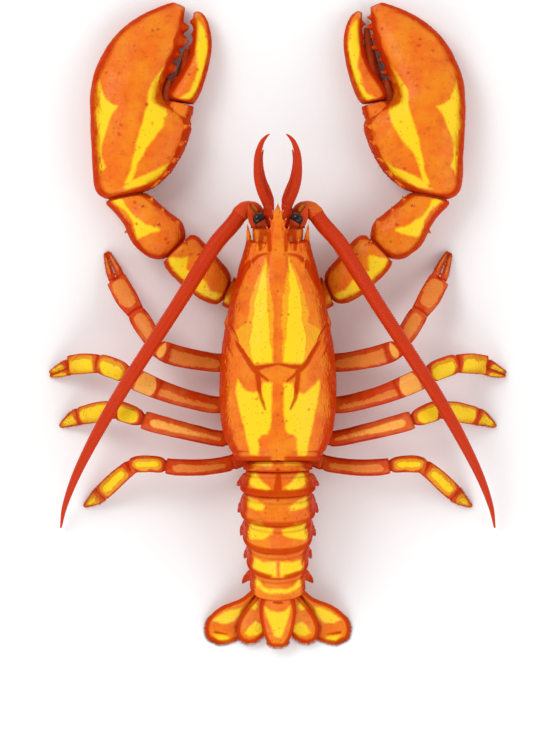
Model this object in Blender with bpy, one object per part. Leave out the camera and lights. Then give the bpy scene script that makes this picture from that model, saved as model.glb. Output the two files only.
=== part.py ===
"""American lobster at life size, claws held forward, feelers swept back, tail arched to the floor.

Lengths here are millimetres, and become metres where a mesh is made. +X is the animal's left, -Y is
the way it faces, +Z is up, and the floor is at height zero. Each plate or joint of the shell is its
own body, and neighbours meet face to face across GAP.
"""

import math

import bmesh
import bpy
from mathutils import Vector

MM = 0.001
GAP = 0.3
UP = Vector((0, 0, 1))
LEFT, RIGHT = 1, -1
SIDE_NAME = {LEFT: "left", RIGHT: "right"}

# Plate colours, each with its roughness
SHELL_ORANGE = ("shell_orange", (0.84, 0.21, 0.03), 0.36)
CLAW_ORANGE = ("claw_orange", (0.89, 0.23, 0.03), 0.34)
LEG_RED = ("leg_red", (0.70, 0.09, 0.02), 0.42)
FEELER_RED = ("feeler_red", (0.60, 0.03, 0.01), 0.40)
UNDERSIDE = ("underside", (0.86, 0.42, 0.16), 0.50)
EYE_BLACK = ("eye_black", (0.01, 0.01, 0.012), 0.10)

# Carapace stations: place along Y, half width, top height, bottom height
CARAPACE = (
    (-50.0, 18.4, 59.2, 31.4),
    (-30.0, 24.2, 63.5, 26.0),
    (-8.0, 29.8, 67.5, 21.5),
    (14.0, 33.6, 70.5, 19.4),
    (36.0, 35.4, 72.0, 19.0),
    (56.0, 34.6, 71.6, 20.0),
    (70.0, 31.6, 70.0, 22.5),
    (81.0, 25.0, 67.0, 28.0),
)
CARAPACE_SIDES = 24
GROOVE_AT = 30.0
GROOVE_DEPTH = 1.6
GROOVE_HALF_WIDTH = 2.6
GROOVE_SWEEP = 34.0
# The hollow over each eye in the front edge: how far up the edge it lies, in degrees, its width and depth
SOCKET_ANGLE = 54.0
SOCKET_WIDTH = 17.0
SOCKET_DEPTH = 4.6

# Rostrum stations: place along Y, half width, middle height, half height
ROSTRUM = (
    (-41.0, 9.0, 58.6, 3.6),
    (-50.0, 6.2, 59.4, 3.2),
    (-60.0, 3.6, 59.9, 2.5),
    (-66.5, 2.0, 60.8, 1.6),
    (-70.5, 0.5, 62.0, 0.5),
)

STERNUM_HALF_WIDTH = 12.0
STERNUM_FRONT, STERNUM_BACK = -26.5, 80.7
STERNUM_LOW = 7.0
HEAD_BACK, HEAD_FRONT = -50.3, -56.5

# A claw row: outer edge x and y, inner edge x and y, middle height, half height
PALM = (
    (102.0, -74.3, 80.0, -78.7, 15.5, 9.2),
    (107.6, -77.2, 73.6, -82.4, 15.5, 12.6),
    (110.4, -82.6, 66.4, -88.2, 15.5, 14.6),
    (111.2, -92.0, 59.6, -97.0, 15.5, 16.0),
    (112.0, -107.0, 53.8, -109.0, 15.8, 17.0),
    (112.8, -121.0, 51.6, -120.0, 15.6, 16.8),
    (112.8, -131.0, 57.5, -127.5, 15.3, 16.2),
    (112.6, -137.0, 67.0, -133.0, 15.0, 15.6),
    (112.0, -143.0, 69.0, -140.0, 14.5, 15.0),
    (110.2, -151.0, 66.0, -150.0, 13.8, 14.0),
    (106.5, -160.0, 62.5, -159.0, 12.8, 12.5),
    (100.5, -170.0, 58.8, -168.0, 11.6, 11.0),
    (91.0, -180.0, 56.8, -177.0, 10.2, 9.0),
    (78.0, -188.0, 56.2, -185.0, 8.4, 6.4),
    (62.5, -193.8, 55.4, -190.5, 6.6, 3.0),
)
PALM_SOCKET = (
    (58.0, -114.0, 78.0, -118.0, 15.0, 8.0),
    (51.4, -125.0, 68.0, -129.0, 14.6, 10.8),
    (50.0, -130.6, 66.2, -134.2, 14.4, 10.4),
)
FINGER = (
    (51.7, -131.3, 64.5, -134.1, 14.4, 8.0),
    (48.9, -133.6, 66.4, -137.2, 14.4, 10.4),
    (45.6, -139.5, 64.6, -141.5, 14.0, 10.6),
    (42.3, -150.0, 57.8, -151.5, 13.2, 9.6),
    (40.2, -160.0, 53.2, -160.8, 12.2, 8.4),
    (39.3, -170.0, 51.2, -170.0, 11.0, 7.0),
    (40.8, -179.0, 50.6, -178.5, 9.6, 5.2),
    (44.2, -185.8, 50.8, -184.5, 8.4, 3.2),
    (48.2, -188.6, 51.0, -187.5, 7.6, 1.5),
)
ISCHIUM = (
    (12.15, 1.0, 12.15, -17.0, 13.0, 5.4),
    (21.0, -3.5, 19.0, -20.5, 13.2, 6.2),
    (33.9, -11.3, 26.4, -28.6, 15.0, 8.6),
)
MERUS = (
    (32.7, -14.0, 27.6, -25.9, 15.3, 6.8),
    (37.4, -11.6, 28.9, -31.6, 15.6, 9.6),
    (45.5, -14.0, 34.0, -37.6, 16.6, 10.9),
    (56.5, -22.0, 42.0, -47.0, 17.6, 11.6),
    (66.8, -32.6, 48.6, -53.0, 17.8, 11.7),
    (68.7, -37.3, 53.1, -53.1, 17.8, 9.8),
)
CARPUS = (
    (66.8, -39.2, 55.0, -51.2, 17.8, 8.2),
    (72.4, -38.4, 55.6, -55.8, 18.0, 11.4),
    (78.5, -40.4, 57.6, -61.6, 18.2, 12.9),
    (87.5, -48.5, 64.0, -66.5, 18.4, 13.6),
    (91.0, -57.0, 70.0, -71.5, 18.0, 12.8),
    (96.6, -65.4, 74.2, -75.4, 17.0, 11.6),
    (103.0, -71.6, 77.4, -77.4, 16.2, 11.6),
    (102.6, -74.1, 79.4, -78.9, 15.8, 10.0),
)

# A leg row: middle x, y and height, half width, half height
LEG_UPPER = {
    1: (
        (12.15, 19.0, 13.0, 7.6, 5.2),
        (22.0, 21.5, 12.9, 6.1, 5.0),
        (33.0, 23.5, 14.0, 5.6, 4.8),
        (50.0, 21.5, 21.5, 6.0, 5.0),
        (66.0, 17.5, 28.5, 6.4, 5.2),
        (72.5, 14.0, 30.0, 5.4, 4.7),
    ),
    2: (
        (12.15, 40.0, 13.0, 7.4, 5.2),
        (22.0, 43.5, 12.9, 5.9, 5.0),
        (33.0, 49.0, 14.0, 5.3, 4.7),
        (50.0, 46.0, 21.5, 5.4, 4.8),
        (68.0, 40.5, 29.0, 5.9, 5.1),
        (84.0, 33.6, 33.0, 6.5, 5.1),
        (89.0, 31.0, 33.3, 5.7, 4.6),
    ),
    3: (
        (12.15, 59.5, 13.0, 7.0, 5.2),
        (21.0, 64.0, 12.9, 5.6, 5.0),
        (31.0, 69.3, 14.2, 5.0, 4.7),
        (48.0, 66.0, 21.0, 5.1, 4.6),
        (66.0, 61.5, 28.0, 5.4, 4.7),
        (76.5, 58.5, 31.0, 5.8, 4.9),
        (80.5, 57.2, 31.6, 5.3, 4.3),
    ),
    4: (
        (12.15, 75.5, 13.0, 6.0, 5.2),
        (20.0, 79.5, 12.9, 5.3, 4.9),
        (28.0, 83.5, 14.5, 4.9, 4.6),
        (45.0, 86.0, 21.0, 5.0, 4.5),
        (60.0, 85.8, 26.0, 5.2, 4.6),
        (67.0, 84.8, 27.5, 4.8, 4.2),
    ),
}
LEG_LOWER = {
    1: (
        (72.5, 14.0, 30.0, 4.6, 4.3),
        (77.5, 5.0, 29.0, 5.9, 4.9),
        (83.5, -4.5, 25.0, 6.0, 4.7),
        (85.0, -7.0, 23.4, 5.3, 4.1),
        (91.0, -16.0, 17.4, 6.8, 4.8),
        (97.2, -27.0, 10.0, 6.2, 3.8),
    ),
    2: (
        (89.0, 31.0, 33.3, 5.1, 4.2),
        (96.0, 27.3, 31.5, 6.2, 4.8),
        (104.5, 24.4, 27.0, 6.1, 4.6),
        (107.0, 23.9, 25.2, 5.4, 4.0),
        (116.0, 23.7, 18.0, 6.2, 4.5),
        (126.0, 24.8, 9.6, 5.7, 3.7),
    ),
    3: (
        (80.5, 57.2, 31.6, 4.7, 3.9),
        (88.0, 54.2, 31.0, 5.8, 4.6),
        (94.5, 51.9, 28.5, 5.9, 4.5),
        (97.0, 51.4, 27.0, 5.2, 3.9),
        (107.0, 52.6, 19.5, 6.1, 4.2),
        (119.0, 55.3, 9.5, 5.4, 3.7),
        (124.5, 57.6, 5.2, 4.2, 2.9),
        (131.5, 61.8, 1.2, 1.1, 1.2),
    ),
    4: (
        (67.0, 84.8, 27.5, 4.5, 3.8),
        (76.0, 83.7, 28.0, 5.1, 4.3),
        (84.5, 84.0, 26.0, 5.0, 4.2),
        (88.0, 85.8, 24.0, 4.6, 3.8),
        (97.0, 93.2, 16.0, 5.3, 4.0),
        (106.0, 101.6, 8.0, 5.0, 3.4),
        (110.0, 105.2, 4.8, 4.0, 2.6),
        (117.0, 110.0, 1.1, 1.0, 1.1),
    ),
}
# Where the two fingers of the small pincers end on the floor, for the first two pairs of legs
PINCER_TIP = {1: Vector((103.4, -43.5, 1.2)), 2: Vector((137.6, 30.4, 1.2))}
PINCER_SPREAD = 2.9
KNEE_NECK = 3.2

# The body of a feeler: middle x, y and height, half width, half height
FEELER_BASE = (
    (11.3, -56.65, 36.0, 5.0, 4.6),
    (11.2, -59.3, 36.2, 5.2, 4.8),
    (11.2, -60.2, 36.4, 4.7, 4.4),
    (11.0, -62.0, 36.7, 4.9, 4.5),
    (11.0, -65.4, 37.4, 4.2, 4.0),
)
FEELER = (
    (11.0, -65.4, 37.4, 3.7, 3.6),
    (13.3, -67.5, 37.9, 4.1, 3.8),
    (16.6, -68.5, 38.8, 4.5, 4.0),
    (19.9, -67.6, 39.8, 4.7, 4.1),
    (22.3, -65.3, 40.8, 4.85, 4.2),
    (27.4, -58.5, 42.8, 5.0, 4.3),
    (36.5, -48.0, 46.2, 4.9, 4.3),
    (45.4, -34.0, 49.0, 4.7, 4.2),
    (59.6, -11.0, 51.5, 4.4, 4.0),
    (76.7, 15.3, 51.0, 4.2, 3.8),
    (93.8, 41.8, 46.5, 4.1, 3.6),
    (107.9, 65.8, 37.5, 3.6, 3.2),
    (120.4, 90.0, 24.0, 2.7, 2.4),
    (127.8, 109.2, 12.0, 1.7, 1.5),
    (130.5, 122.4, 4.5, 0.6, 0.6),
)
FEELER_SPLIT = 8
SMALL_FEELER_BASE = (
    (4.6, -56.65, 41.5, 3.2, 2.9),
    (4.9, -63.0, 43.5, 3.5, 3.1),
    (5.5, -71.0, 45.8, 3.3, 2.9),
)
SMALL_FEELERS = (
    (
        (5.8, -68.0, 45.2, 2.4, 2.2),
        (6.9, -73.1, 46.8, 3.1, 2.7),
        (9.4, -78.6, 48.2, 3.1, 2.7),
        (11.4, -85.8, 50.2, 2.9, 2.5),
        (12.0, -93.1, 52.4, 2.5, 2.2),
        (11.7, -100.3, 54.8, 2.1, 1.8),
        (9.7, -106.9, 57.0, 1.6, 1.4),
        (7.2, -110.4, 58.4, 1.0, 0.9),
        (4.9, -112.2, 59.0, 0.35, 0.35),
    ),
    (
        (4.6, -68.0, 44.4, 1.4, 1.4),
        (4.2, -73.6, 44.6, 2.0, 1.8),
        (6.0, -79.1, 45.4, 2.0, 1.8),
        (8.5, -85.6, 46.8, 1.8, 1.6),
        (9.8, -92.6, 48.6, 1.45, 1.3),
        (9.8, -98.2, 50.0, 1.05, 1.0),
        (8.6, -103.2, 51.4, 0.35, 0.35),
    ),
)
FEELER_SCALE = (
    (13.2, -56.65, 44.2, 1.9, 0.9),
    (14.6, -61.0, 44.8, 2.8, 0.9),
    (16.0, -65.4, 45.4, 2.3, 0.8),
    (17.1, -68.8, 45.9, 1.1, 0.6),
    (17.6, -70.8, 46.2, 0.4, 0.4),
)
EYESTALK = (
    (8.5, -56.65, 47.0, 2.8, 2.8),
    (9.4, -58.6, 48.4, 3.1, 3.1),
    (10.2, -60.3, 49.6, 3.2, 3.2),
)
EYE = (
    (10.2, -60.3, 49.6, 3.3, 3.3),
    (10.9, -61.7, 50.1, 4.1, 4.0),
    (11.8, -63.4, 50.6, 3.8, 3.7),
    (12.5, -64.7, 51.0, 2.5, 2.4),
    (12.8, -65.2, 51.1, 1.0, 1.0),
)
MOUTH_LEG = (
    (5.2, -26.65, 10.8, 4.2, 3.4),
    (5.6, -38.0, 10.5, 4.5, 3.6),
    (6.2, -50.0, 11.2, 4.0, 3.5),
    (7.6, -58.0, 15.0, 3.2, 3.1),
    (7.9, -63.5, 20.0, 2.4, 2.3),
    (6.8, -66.5, 25.0, 1.2, 1.2),
)

# Tail joints: top of the back as y and height, lean back in degrees, half width, depth
TAIL_JOINTS = (
    (81.15, 65.5, 0.0, 19.0, 36.5),
    (88.0, 65.6, 4.0, 19.8, 36.5),
    (103.0, 63.5, 12.0, 21.4, 35.0),
    (120.5, 58.0, 21.0, 21.2, 32.0),
    (137.0, 49.8, 30.0, 19.6, 28.5),
    (152.0, 40.0, 36.0, 17.4, 24.0),
    (165.5, 29.5, 40.0, 15.6, 19.0),
)
TAIL_SIDES = 18
# A tail ring's side plate: how far it reaches below the ring, its flare, and how far back its point lies
SIDE_PLATES = {
    1: (3.0, 0.34, 2.0),
    2: (8.5, 0.34, 6.5),
    3: (8.0, 0.30, 12.0),
    4: (7.5, 0.30, 14.0),
    5: (6.5, 0.32, 14.5),
    6: (5.0, 0.68, 15.0),
}
SIDE_PLATE_GAP = 1.4
SWIMMERET_LENGTH = {2: 15.0, 3: 15.0, 4: 13.0, 5: 10.0}
# A fan blade row: distance along it, half width, half thickness
TELSON = (
    (0.0, 8.6, 3.0),
    (8.0, 11.2, 2.8),
    (17.0, 11.0, 2.3),
    (26.0, 9.6, 1.8),
    (34.0, 7.8, 1.4),
    (38.5, 6.0, 1.1),
    (40.6, 3.4, 0.9),
)
INNER_BLADE = (
    (0.0, 3.4, 1.3),
    (8.0, 5.0, 1.2),
    (17.0, 8.0, 1.1),
    (26.0, 9.6, 1.0),
    (35.0, 9.2, 0.9),
    (41.0, 6.6, 0.8),
    (44.0, 2.6, 0.7),
)
OUTER_BLADE = (
    (0.0, 2.0, 1.3),
    (7.0, 2.6, 1.2),
    (14.0, 3.2, 1.1),
    (20.0, 7.0, 1.1),
    (26.0, 11.0, 1.0),
    (37.0, 13.4, 0.9),
    (46.5, 10.6, 0.8),
    (52.4, 4.8, 0.7),
)
INNER_TURN, OUTER_TURN = math.radians(17), math.radians(32)
FAN_REST = {"telson": 5.6, "inner": 3.0, "outer": 0.0}


def material(look):
    """The plate finish of that name, made the first time that it is asked for."""
    name, colour, roughness = look
    found = bpy.data.materials.get(name)
    if found:
        return found
    made = bpy.data.materials.new(name)
    made.use_nodes = True
    shader = made.node_tree.nodes["Principled BSDF"]
    shader.inputs["Base Color"].default_value = (*colour, 1.0)
    shader.inputs["Roughness"].default_value = roughness
    shader.inputs["Metallic"].default_value = 0.0
    made.diffuse_color = (*colour, 1.0)
    return made


def along(stations, place):
    """Sizes at a place on a smooth curve through stations. A station's first value is its place."""
    last = len(stations) - 1
    i = next((k for k in range(last) if place <= stations[k + 1][0]), last - 1)

    def slope(k, column):
        before, after = stations[max(k - 1, 0)], stations[min(k + 1, last)]
        return (after[column] - before[column]) / (after[0] - before[0])

    near, far = stations[i], stations[i + 1]
    span = far[0] - near[0]
    t = (place - near[0]) / span
    return [
        near[c] * (1 + 2 * t) * (1 - t) ** 2
        + far[c] * t * t * (3 - 2 * t)
        + span * slope(i, c) * t * (1 - t) ** 2
        - span * slope(i + 1, c) * t * t * (1 - t)
        for c in range(1, len(near))
    ]


def refined(rows, steps):
    """The rows with others set between them, on a smooth curve, so that each gap has that many steps."""
    numbered = [(i, *row) for i, row in enumerate(rows)]
    count = (len(rows) - 1) * steps
    return [along(numbered, i / steps) for i in range(count + 1)]


def oval(centre, across, upward, sides, squareness=2.2):
    """Points round an oval that fills out towards a box as its squareness grows."""
    power = 2 / squareness
    full = math.cos(math.pi / sides)
    points = []
    for i in range(sides):
        angle = 2 * math.pi * (i + 0.5) / sides
        c, s = math.cos(angle) / full, math.sin(angle) / full
        points.append(
            centre
            + across * math.copysign(abs(c) ** power, c)
            + upward * math.copysign(abs(s) ** power, s)
        )
    return points


def on_floor(points):
    """The points, with those under the floor lifted to it as a small flat."""
    return [Vector((p.x, p.y, max(p.z, 0.0))) for p in points]


def body(name, rings, look):
    """A closed body through rings of points, capped at both ends, with its origin in its first ring."""
    origin = sum(rings[0], Vector()) / len(rings[0])
    shape = bmesh.new()
    made = [[shape.verts.new((p - origin) * MM) for p in ring] for ring in rings]
    for near, far in zip(made, made[1:]):
        for i, corner in enumerate(near):
            j = (i + 1) % len(near)
            shape.faces.new((corner, near[j], far[j], far[i]))
    shape.faces.new(made[0])
    shape.faces.new(made[-1])
    bmesh.ops.recalc_face_normals(shape, faces=shape.faces)
    mesh = bpy.data.meshes.new(name)
    shape.to_mesh(mesh)
    shape.free()
    mesh.materials.append(material(look))
    mesh.shade_smooth()
    mesh.set_sharp_from_angle(angle=math.radians(40))
    made_object = bpy.data.objects.new(name, mesh)
    made_object.location = origin * MM
    bpy.context.scene.collection.objects.link(made_object)
    return made_object


def keep_largest_surface(mesh):
    """Drops every loose surface of a mesh but the one with the most faces."""
    shape = bmesh.new()
    shape.from_mesh(mesh)
    left, groups = set(shape.faces), []
    while left:
        group, edge_of_group = set(), [left.pop()]
        while edge_of_group:
            face = edge_of_group.pop()
            group.add(face)
            for edge in face.edges:
                for other in edge.link_faces:
                    if other in left:
                        left.remove(other)
                        edge_of_group.append(other)
        groups.append(group)
    groups.sort(key=len)
    loose = [face for group in groups[:-1] for face in group]
    bmesh.ops.delete(shape, geom=loose, context="FACES")
    shape.to_mesh(mesh)
    shape.free()


def fuse(trunk, pieces):
    """Joins closed pieces to the trunk they grow from, as one closed body."""
    group = bpy.data.collections.new(trunk.name + "_pieces")
    for piece in pieces:
        group.objects.link(piece)
    join = trunk.modifiers.new("join", "BOOLEAN")
    join.operation = "UNION"
    join.operand_type = "COLLECTION"
    join.collection = group
    bpy.context.view_layer.update()
    graph = bpy.context.evaluated_depsgraph_get()
    joined = bpy.data.meshes.new_from_object(trunk.evaluated_get(graph))
    trunk.modifiers.clear()
    keep_largest_surface(joined)
    joined.name = trunk.name
    trunk.data = joined
    for piece in pieces:
        bpy.data.objects.remove(piece)
    bpy.data.collections.remove(group)
    return trunk


def spike(root, direction, radius, length, sides=6):
    """A tapered spine from a root point sunk in what it grows from."""
    heading = direction.normalized()
    across = heading.cross(UP if abs(heading.z) < 0.9 else Vector((1, 0, 0))).normalized()
    upward = across.cross(heading)
    tip = root + heading * length
    rings = [
        oval(root, across * radius, upward * radius, sides, 2.0),
        oval(tip, across * 0.3, upward * 0.3, sides, 2.0),
    ]
    return body("spike", rings, SHELL_ORANGE)


def trimmed(rings):
    """The rings with the first and last moved in by half a gap, square to their own planes."""
    moved = list(rings)
    for end, inside in ((0, 1), (-1, -2)):
        ring = rings[end]
        middle = sum(ring, Vector()) / len(ring)
        inward = sum(rings[inside], Vector()) / len(rings[inside]) - middle
        square = (ring[1] - ring[0]).cross(ring[len(ring) // 2] - ring[0]).normalized()
        if square.dot(inward) < 0:
            square = -square
        moved[end] = [p + square * GAP / 2 for p in ring]
    return moved


def edge_rings(rows, side, sides, squareness=2.2):
    """Upright rings across a limb, from rows that give its outer and inner edges in plan."""
    rings = []
    for x1, y1, x2, y2, height, half_height in rows:
        outer, inner = Vector((x1 * side, y1, 0)), Vector((x2 * side, y2, 0))
        centre = (outer + inner) / 2 + UP * height
        rings.append(oval(centre, (outer - inner) / 2, UP * half_height, sides, squareness))
    return rings


def headings(rows):
    """The way a row of middles runs in plan at each of them."""
    middles = [Vector((row[0], row[1], 0)) for row in rows]
    last = len(rows) - 1
    return [
        (middles[min(i + 1, last)] - middles[max(i - 1, 0)]).normalized()
        for i in range(last + 1)
    ]


def limb_rings(rows, side, sides, first=None, last=None):
    """Upright rings along a limb's middle line. Its end rings may be turned to face a given way."""
    facing = headings(rows)
    facing[0] = first or facing[0]
    facing[-1] = last or facing[-1]
    rings = []
    for (x, y, height, half_width, half_height), ahead in zip(rows, facing):
        across = Vector((-ahead.y * side, ahead.x, 0)) * half_width
        centre = Vector((x * side, y, height))
        rings.append(oval(centre, across, UP * half_height, sides))
    return rings


def carapace_sizes(y):
    """Half width, top and bottom of the carapace at a place along the body."""
    return along(CARAPACE, y)


def carapace_ring(y, dent=0.0):
    """A ring of the carapace that leans forward down its sides, as the groove across it does."""
    front, back = CARAPACE[0][0], CARAPACE[-1][0]
    lean = (y - front) / (GROOVE_AT - front) if y < GROOVE_AT else (back - y) / (back - GROOVE_AT)
    points = []
    for i in range(CARAPACE_SIDES):
        angle = 2 * math.pi * (i + 0.5) / CARAPACE_SIDES
        c, s = math.cos(angle), math.sin(angle)
        down_side = 1 - s if s > 0 else max(0.0, 1 + 1.6 * s)
        place = y - GROOVE_SWEEP * lean * down_side
        if y == front and s > 0:
            off_socket = (math.degrees(math.asin(s)) - SOCKET_ANGLE) / SOCKET_WIDTH
            place += SOCKET_DEPTH * math.exp(-off_socket * off_socket)
        half_width, top, bottom = carapace_sizes(place)
        widest = bottom + 0.40 * (top - bottom)
        if s > 0:
            reach = Vector((c, 0, s)) * dent
            x = half_width * math.copysign(abs(c) ** 0.92, c)
            z = widest + (top - widest) * s**0.92
        else:
            reach = Vector()
            x = half_width * math.copysign(abs(c) ** 0.72, c)
            z = widest - (widest - bottom) * abs(s) ** 0.72
        points.append(Vector((x, place, z)) - reach)
    return points


def carapace():
    """The shield over head and chest, with the groove across it and the toothed rostrum in front."""
    ahead = [-50.0, -40.0, -28.0, -16.0, -4.0, 8.0, 19.0, GROOVE_AT - GROOVE_HALF_WIDTH]
    behind = [GROOVE_AT + GROOVE_HALF_WIDTH, 42.0, 52.0, 61.0, 69.0, 76.0, 81.0]
    rings = [carapace_ring(y) for y in ahead]
    rings.append(carapace_ring(GROOVE_AT, GROOVE_DEPTH))
    rings += [carapace_ring(y) for y in behind]
    shield = body("carapace", rings, SHELL_ORANGE)
    beak = [
        oval(Vector((0, y, z)), Vector((half_width, 0, 0)), UP * half_height, 10, 2.0)
        for y, half_width, z, half_height in ROSTRUM
    ]
    pieces = [body("rostrum", beak, SHELL_ORANGE)]
    for side in (LEFT, RIGHT):
        for y, length in ((-52.0, 6.0), (-57.5, 5.4), (-63.0, 4.6)):
            half_width, height, _ = along([(-row[0], *row[1:]) for row in ROSTRUM], -y)
            root = Vector(((half_width - 1.6) * side, y, height))
            pieces.append(spike(root, Vector((0.5 * side, -1.0, 0.35)), 1.3, length))
        behind_eye = Vector((11.6 * side, -38.5, 56.0))
        pieces.append(spike(behind_eye, Vector((0.06 * side, -1.0, 0.22)), 2.0, 11.5))
        by_feeler = Vector((16.6 * side, -46.0, 45.5))
        pieces.append(spike(by_feeler, Vector((0.12 * side, -1.0, 0.02)), 2.2, 13.0))
        neck = Vector((14.5 * side, -32.0, 56.6))
        pieces.append(spike(neck, Vector((0.25 * side, -1.0, 0.55)), 1.4, 7.5))
    return fuse(shield, pieces)


def sternum():
    """The narrow keel between the leg roots, which fills the space under the carapace."""
    stations = [STERNUM_FRONT, -16.0, -8.0, 4.0, 14.0, 25.0, 36.0, 46.0, 56.0, 63.0, 70.0, STERNUM_BACK]
    rings = []
    for y in stations:
        top = carapace_sizes(y)[2] - GAP - 0.1
        wide, narrow = STERNUM_HALF_WIDTH, STERNUM_HALF_WIDTH * 0.55
        profile = (
            (-wide, top), (-wide, STERNUM_LOW + 0.8), (-narrow, STERNUM_LOW), (0.0, STERNUM_LOW - 1.0),
            (narrow, STERNUM_LOW), (wide, STERNUM_LOW + 0.8), (wide, top), (0.0, top),
        )
        rings.append([Vector((x, y, z)) for x, z in profile])
    return body("sternum", rings, UNDERSIDE)


def head():
    """The face in front of the carapace, from which eyes and feelers grow, with the jaws below it."""
    face_rows = ((HEAD_BACK, 14.8, 40.5, 11.4), (-54.0, 15.4, 40.5, 11.2), (HEAD_FRONT, 15.2, 40.5, 10.4))
    jaw_rows = ((-54.0, 7.5, 25.0, 6.0), (-42.0, 9.5, 21.4, 6.0), (-26.8, 10.5, 19.4, 4.4))
    face, jaws = (
        [
            oval(Vector((0, y, z)), Vector((half_width, 0, 0)), UP * half_height, sides, 2.8)
            for y, half_width, z, half_height in rows
        ]
        for rows, sides in ((face_rows, 20), (jaw_rows, 12))
    )
    return fuse(body("head", face, UNDERSIDE), [body("jaws", jaws, UNDERSIDE)])


def with_neck(rows, length, slim):
    """The rows with a slim neck at their start, which reaches full width over a short length."""
    x, y, height, half_width, half_height = rows[0]
    following = Vector(rows[1][:3]) - Vector(rows[0][:3])
    full = [value + step for value, step in zip(rows[0], following * (length / following.length))]
    neck = (x, y, height, half_width * slim, half_height * slim)
    return (neck, (*full, half_width * 1.1, half_height * 1.1), *rows[1:])


def tube(name, rows, side, look, sides=10, steps=2, first=None, last=None):
    """A limb or feeler length along its rows, trimmed at both ends to leave the gap."""
    rings = limb_rings(refined(rows, steps), side, sides, first, last)
    return body(name, [on_floor(ring) for ring in trimmed(rings)], look)


def eye(side):
    """A stalk with its round black eye."""
    ahead = Vector((0.5, -0.87, 0))
    forward = Vector((0, -1, 0))
    tube(f"eyestalk_{SIDE_NAME[side]}", EYESTALK, side, LEG_RED, 10, 1, forward, ahead)
    tube(f"eye_{SIDE_NAME[side]}", EYE, side, EYE_BLACK, 12, 1, ahead, ahead)


def small_feeler(side):
    """An antennule: a short jointed base that forks into two lashes."""
    forward = Vector((0, -1, 0))
    base = tube(f"antennule_{SIDE_NAME[side]}", SMALL_FEELER_BASE, side, FEELER_RED, 8, 1, forward)
    lashes = [tube("lash", rows, side, FEELER_RED, 6, 1) for rows in SMALL_FEELERS]
    return fuse(base, lashes)


def feeler(side):
    """An antenna: its thick base, its flat scale, and the long whip in two lengths."""
    forward = Vector((0, -1, 0))
    name = SIDE_NAME[side]
    turn = Vector((0.5, -0.87, 0)).normalized()
    tube(f"antenna_base_{name}", FEELER_BASE, side, FEELER_RED, 12, 1, forward, turn)
    tube(f"antenna_scale_{name}", FEELER_SCALE, side, LEG_RED, 8, 2, forward)
    whip = refined(FEELER, 2)
    split = FEELER_SPLIT * 2
    middle = headings(whip)[split]
    tube(f"antenna_whip_1_{name}", whip[: split + 1], side, FEELER_RED, 8, 1, turn, middle)
    tube(f"antenna_whip_2_{name}", whip[split:], side, FEELER_RED, 8, 1, middle)


def mouth_leg(side):
    """The outer maxilliped, folded forward under the head."""
    forward = Vector((0, -1, 0))
    return tube(f"maxilliped_{SIDE_NAME[side]}", MOUTH_LEG, side, LEG_RED, 8, 1, forward)


def surface_spikes(rows, side, places, angle, radius, length, lean):
    """Spines standing on a limb's surface, at places from 0 to 1 along its rows, at an angle up its ring."""
    numbered = [(i / (len(rows) - 1), *row) for i, row in enumerate(rows)]
    spikes = []
    for place in places:
        x1, y1, x2, y2, height, half_height = along(numbered, place)
        outer, inner = Vector((x1 * side, y1, 0)), Vector((x2 * side, y2, 0))
        reach = (inner - outer) / 2 * math.cos(angle) + UP * half_height * math.sin(angle)
        ahead = Vector((rows[-1][0] * side, rows[-1][1], 0)) - Vector((rows[0][0] * side, rows[0][1], 0))
        out = (reach.normalized() + ahead.normalized() * lean).normalized()
        skin = (outer + inner) / 2 + UP * height + reach
        spikes.append(spike(skin - out * radius * 1.4, out, radius, length + radius * 1.4))
    return spikes


def tooth(root, direction, radius, length):
    """A blunt tooth of the claw's biting edge."""
    heading = direction.normalized()
    across = heading.cross(UP).normalized()
    rings = [
        oval(root + heading * length * t, across * radius * size, UP * radius * size, 6, 2.0)
        for t, size in ((0.0, 1.0), (0.6, 0.85), (1.0, 0.3))
    ]
    return body("tooth", rings, CLAW_ORANGE)


def biting_edge(rows, side, places, radius, length, towards):
    """A row of teeth along the inner edge of a claw's finger."""
    numbered = [(i / (len(rows) - 1), *row) for i, row in enumerate(rows)]
    teeth = []
    for i, place in enumerate(places):
        x2, y2, height, half_height = along(numbered, place)[2:]
        size = 1.0 if i % 2 == 0 else 0.78
        root = Vector(((x2 + towards * 1.8) * side, y2, height))
        out = Vector((-towards * side, 0, 0))
        teeth.append(tooth(root, out, min(radius * size, half_height * 0.7), 1.8 + length * size))
    return teeth


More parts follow.
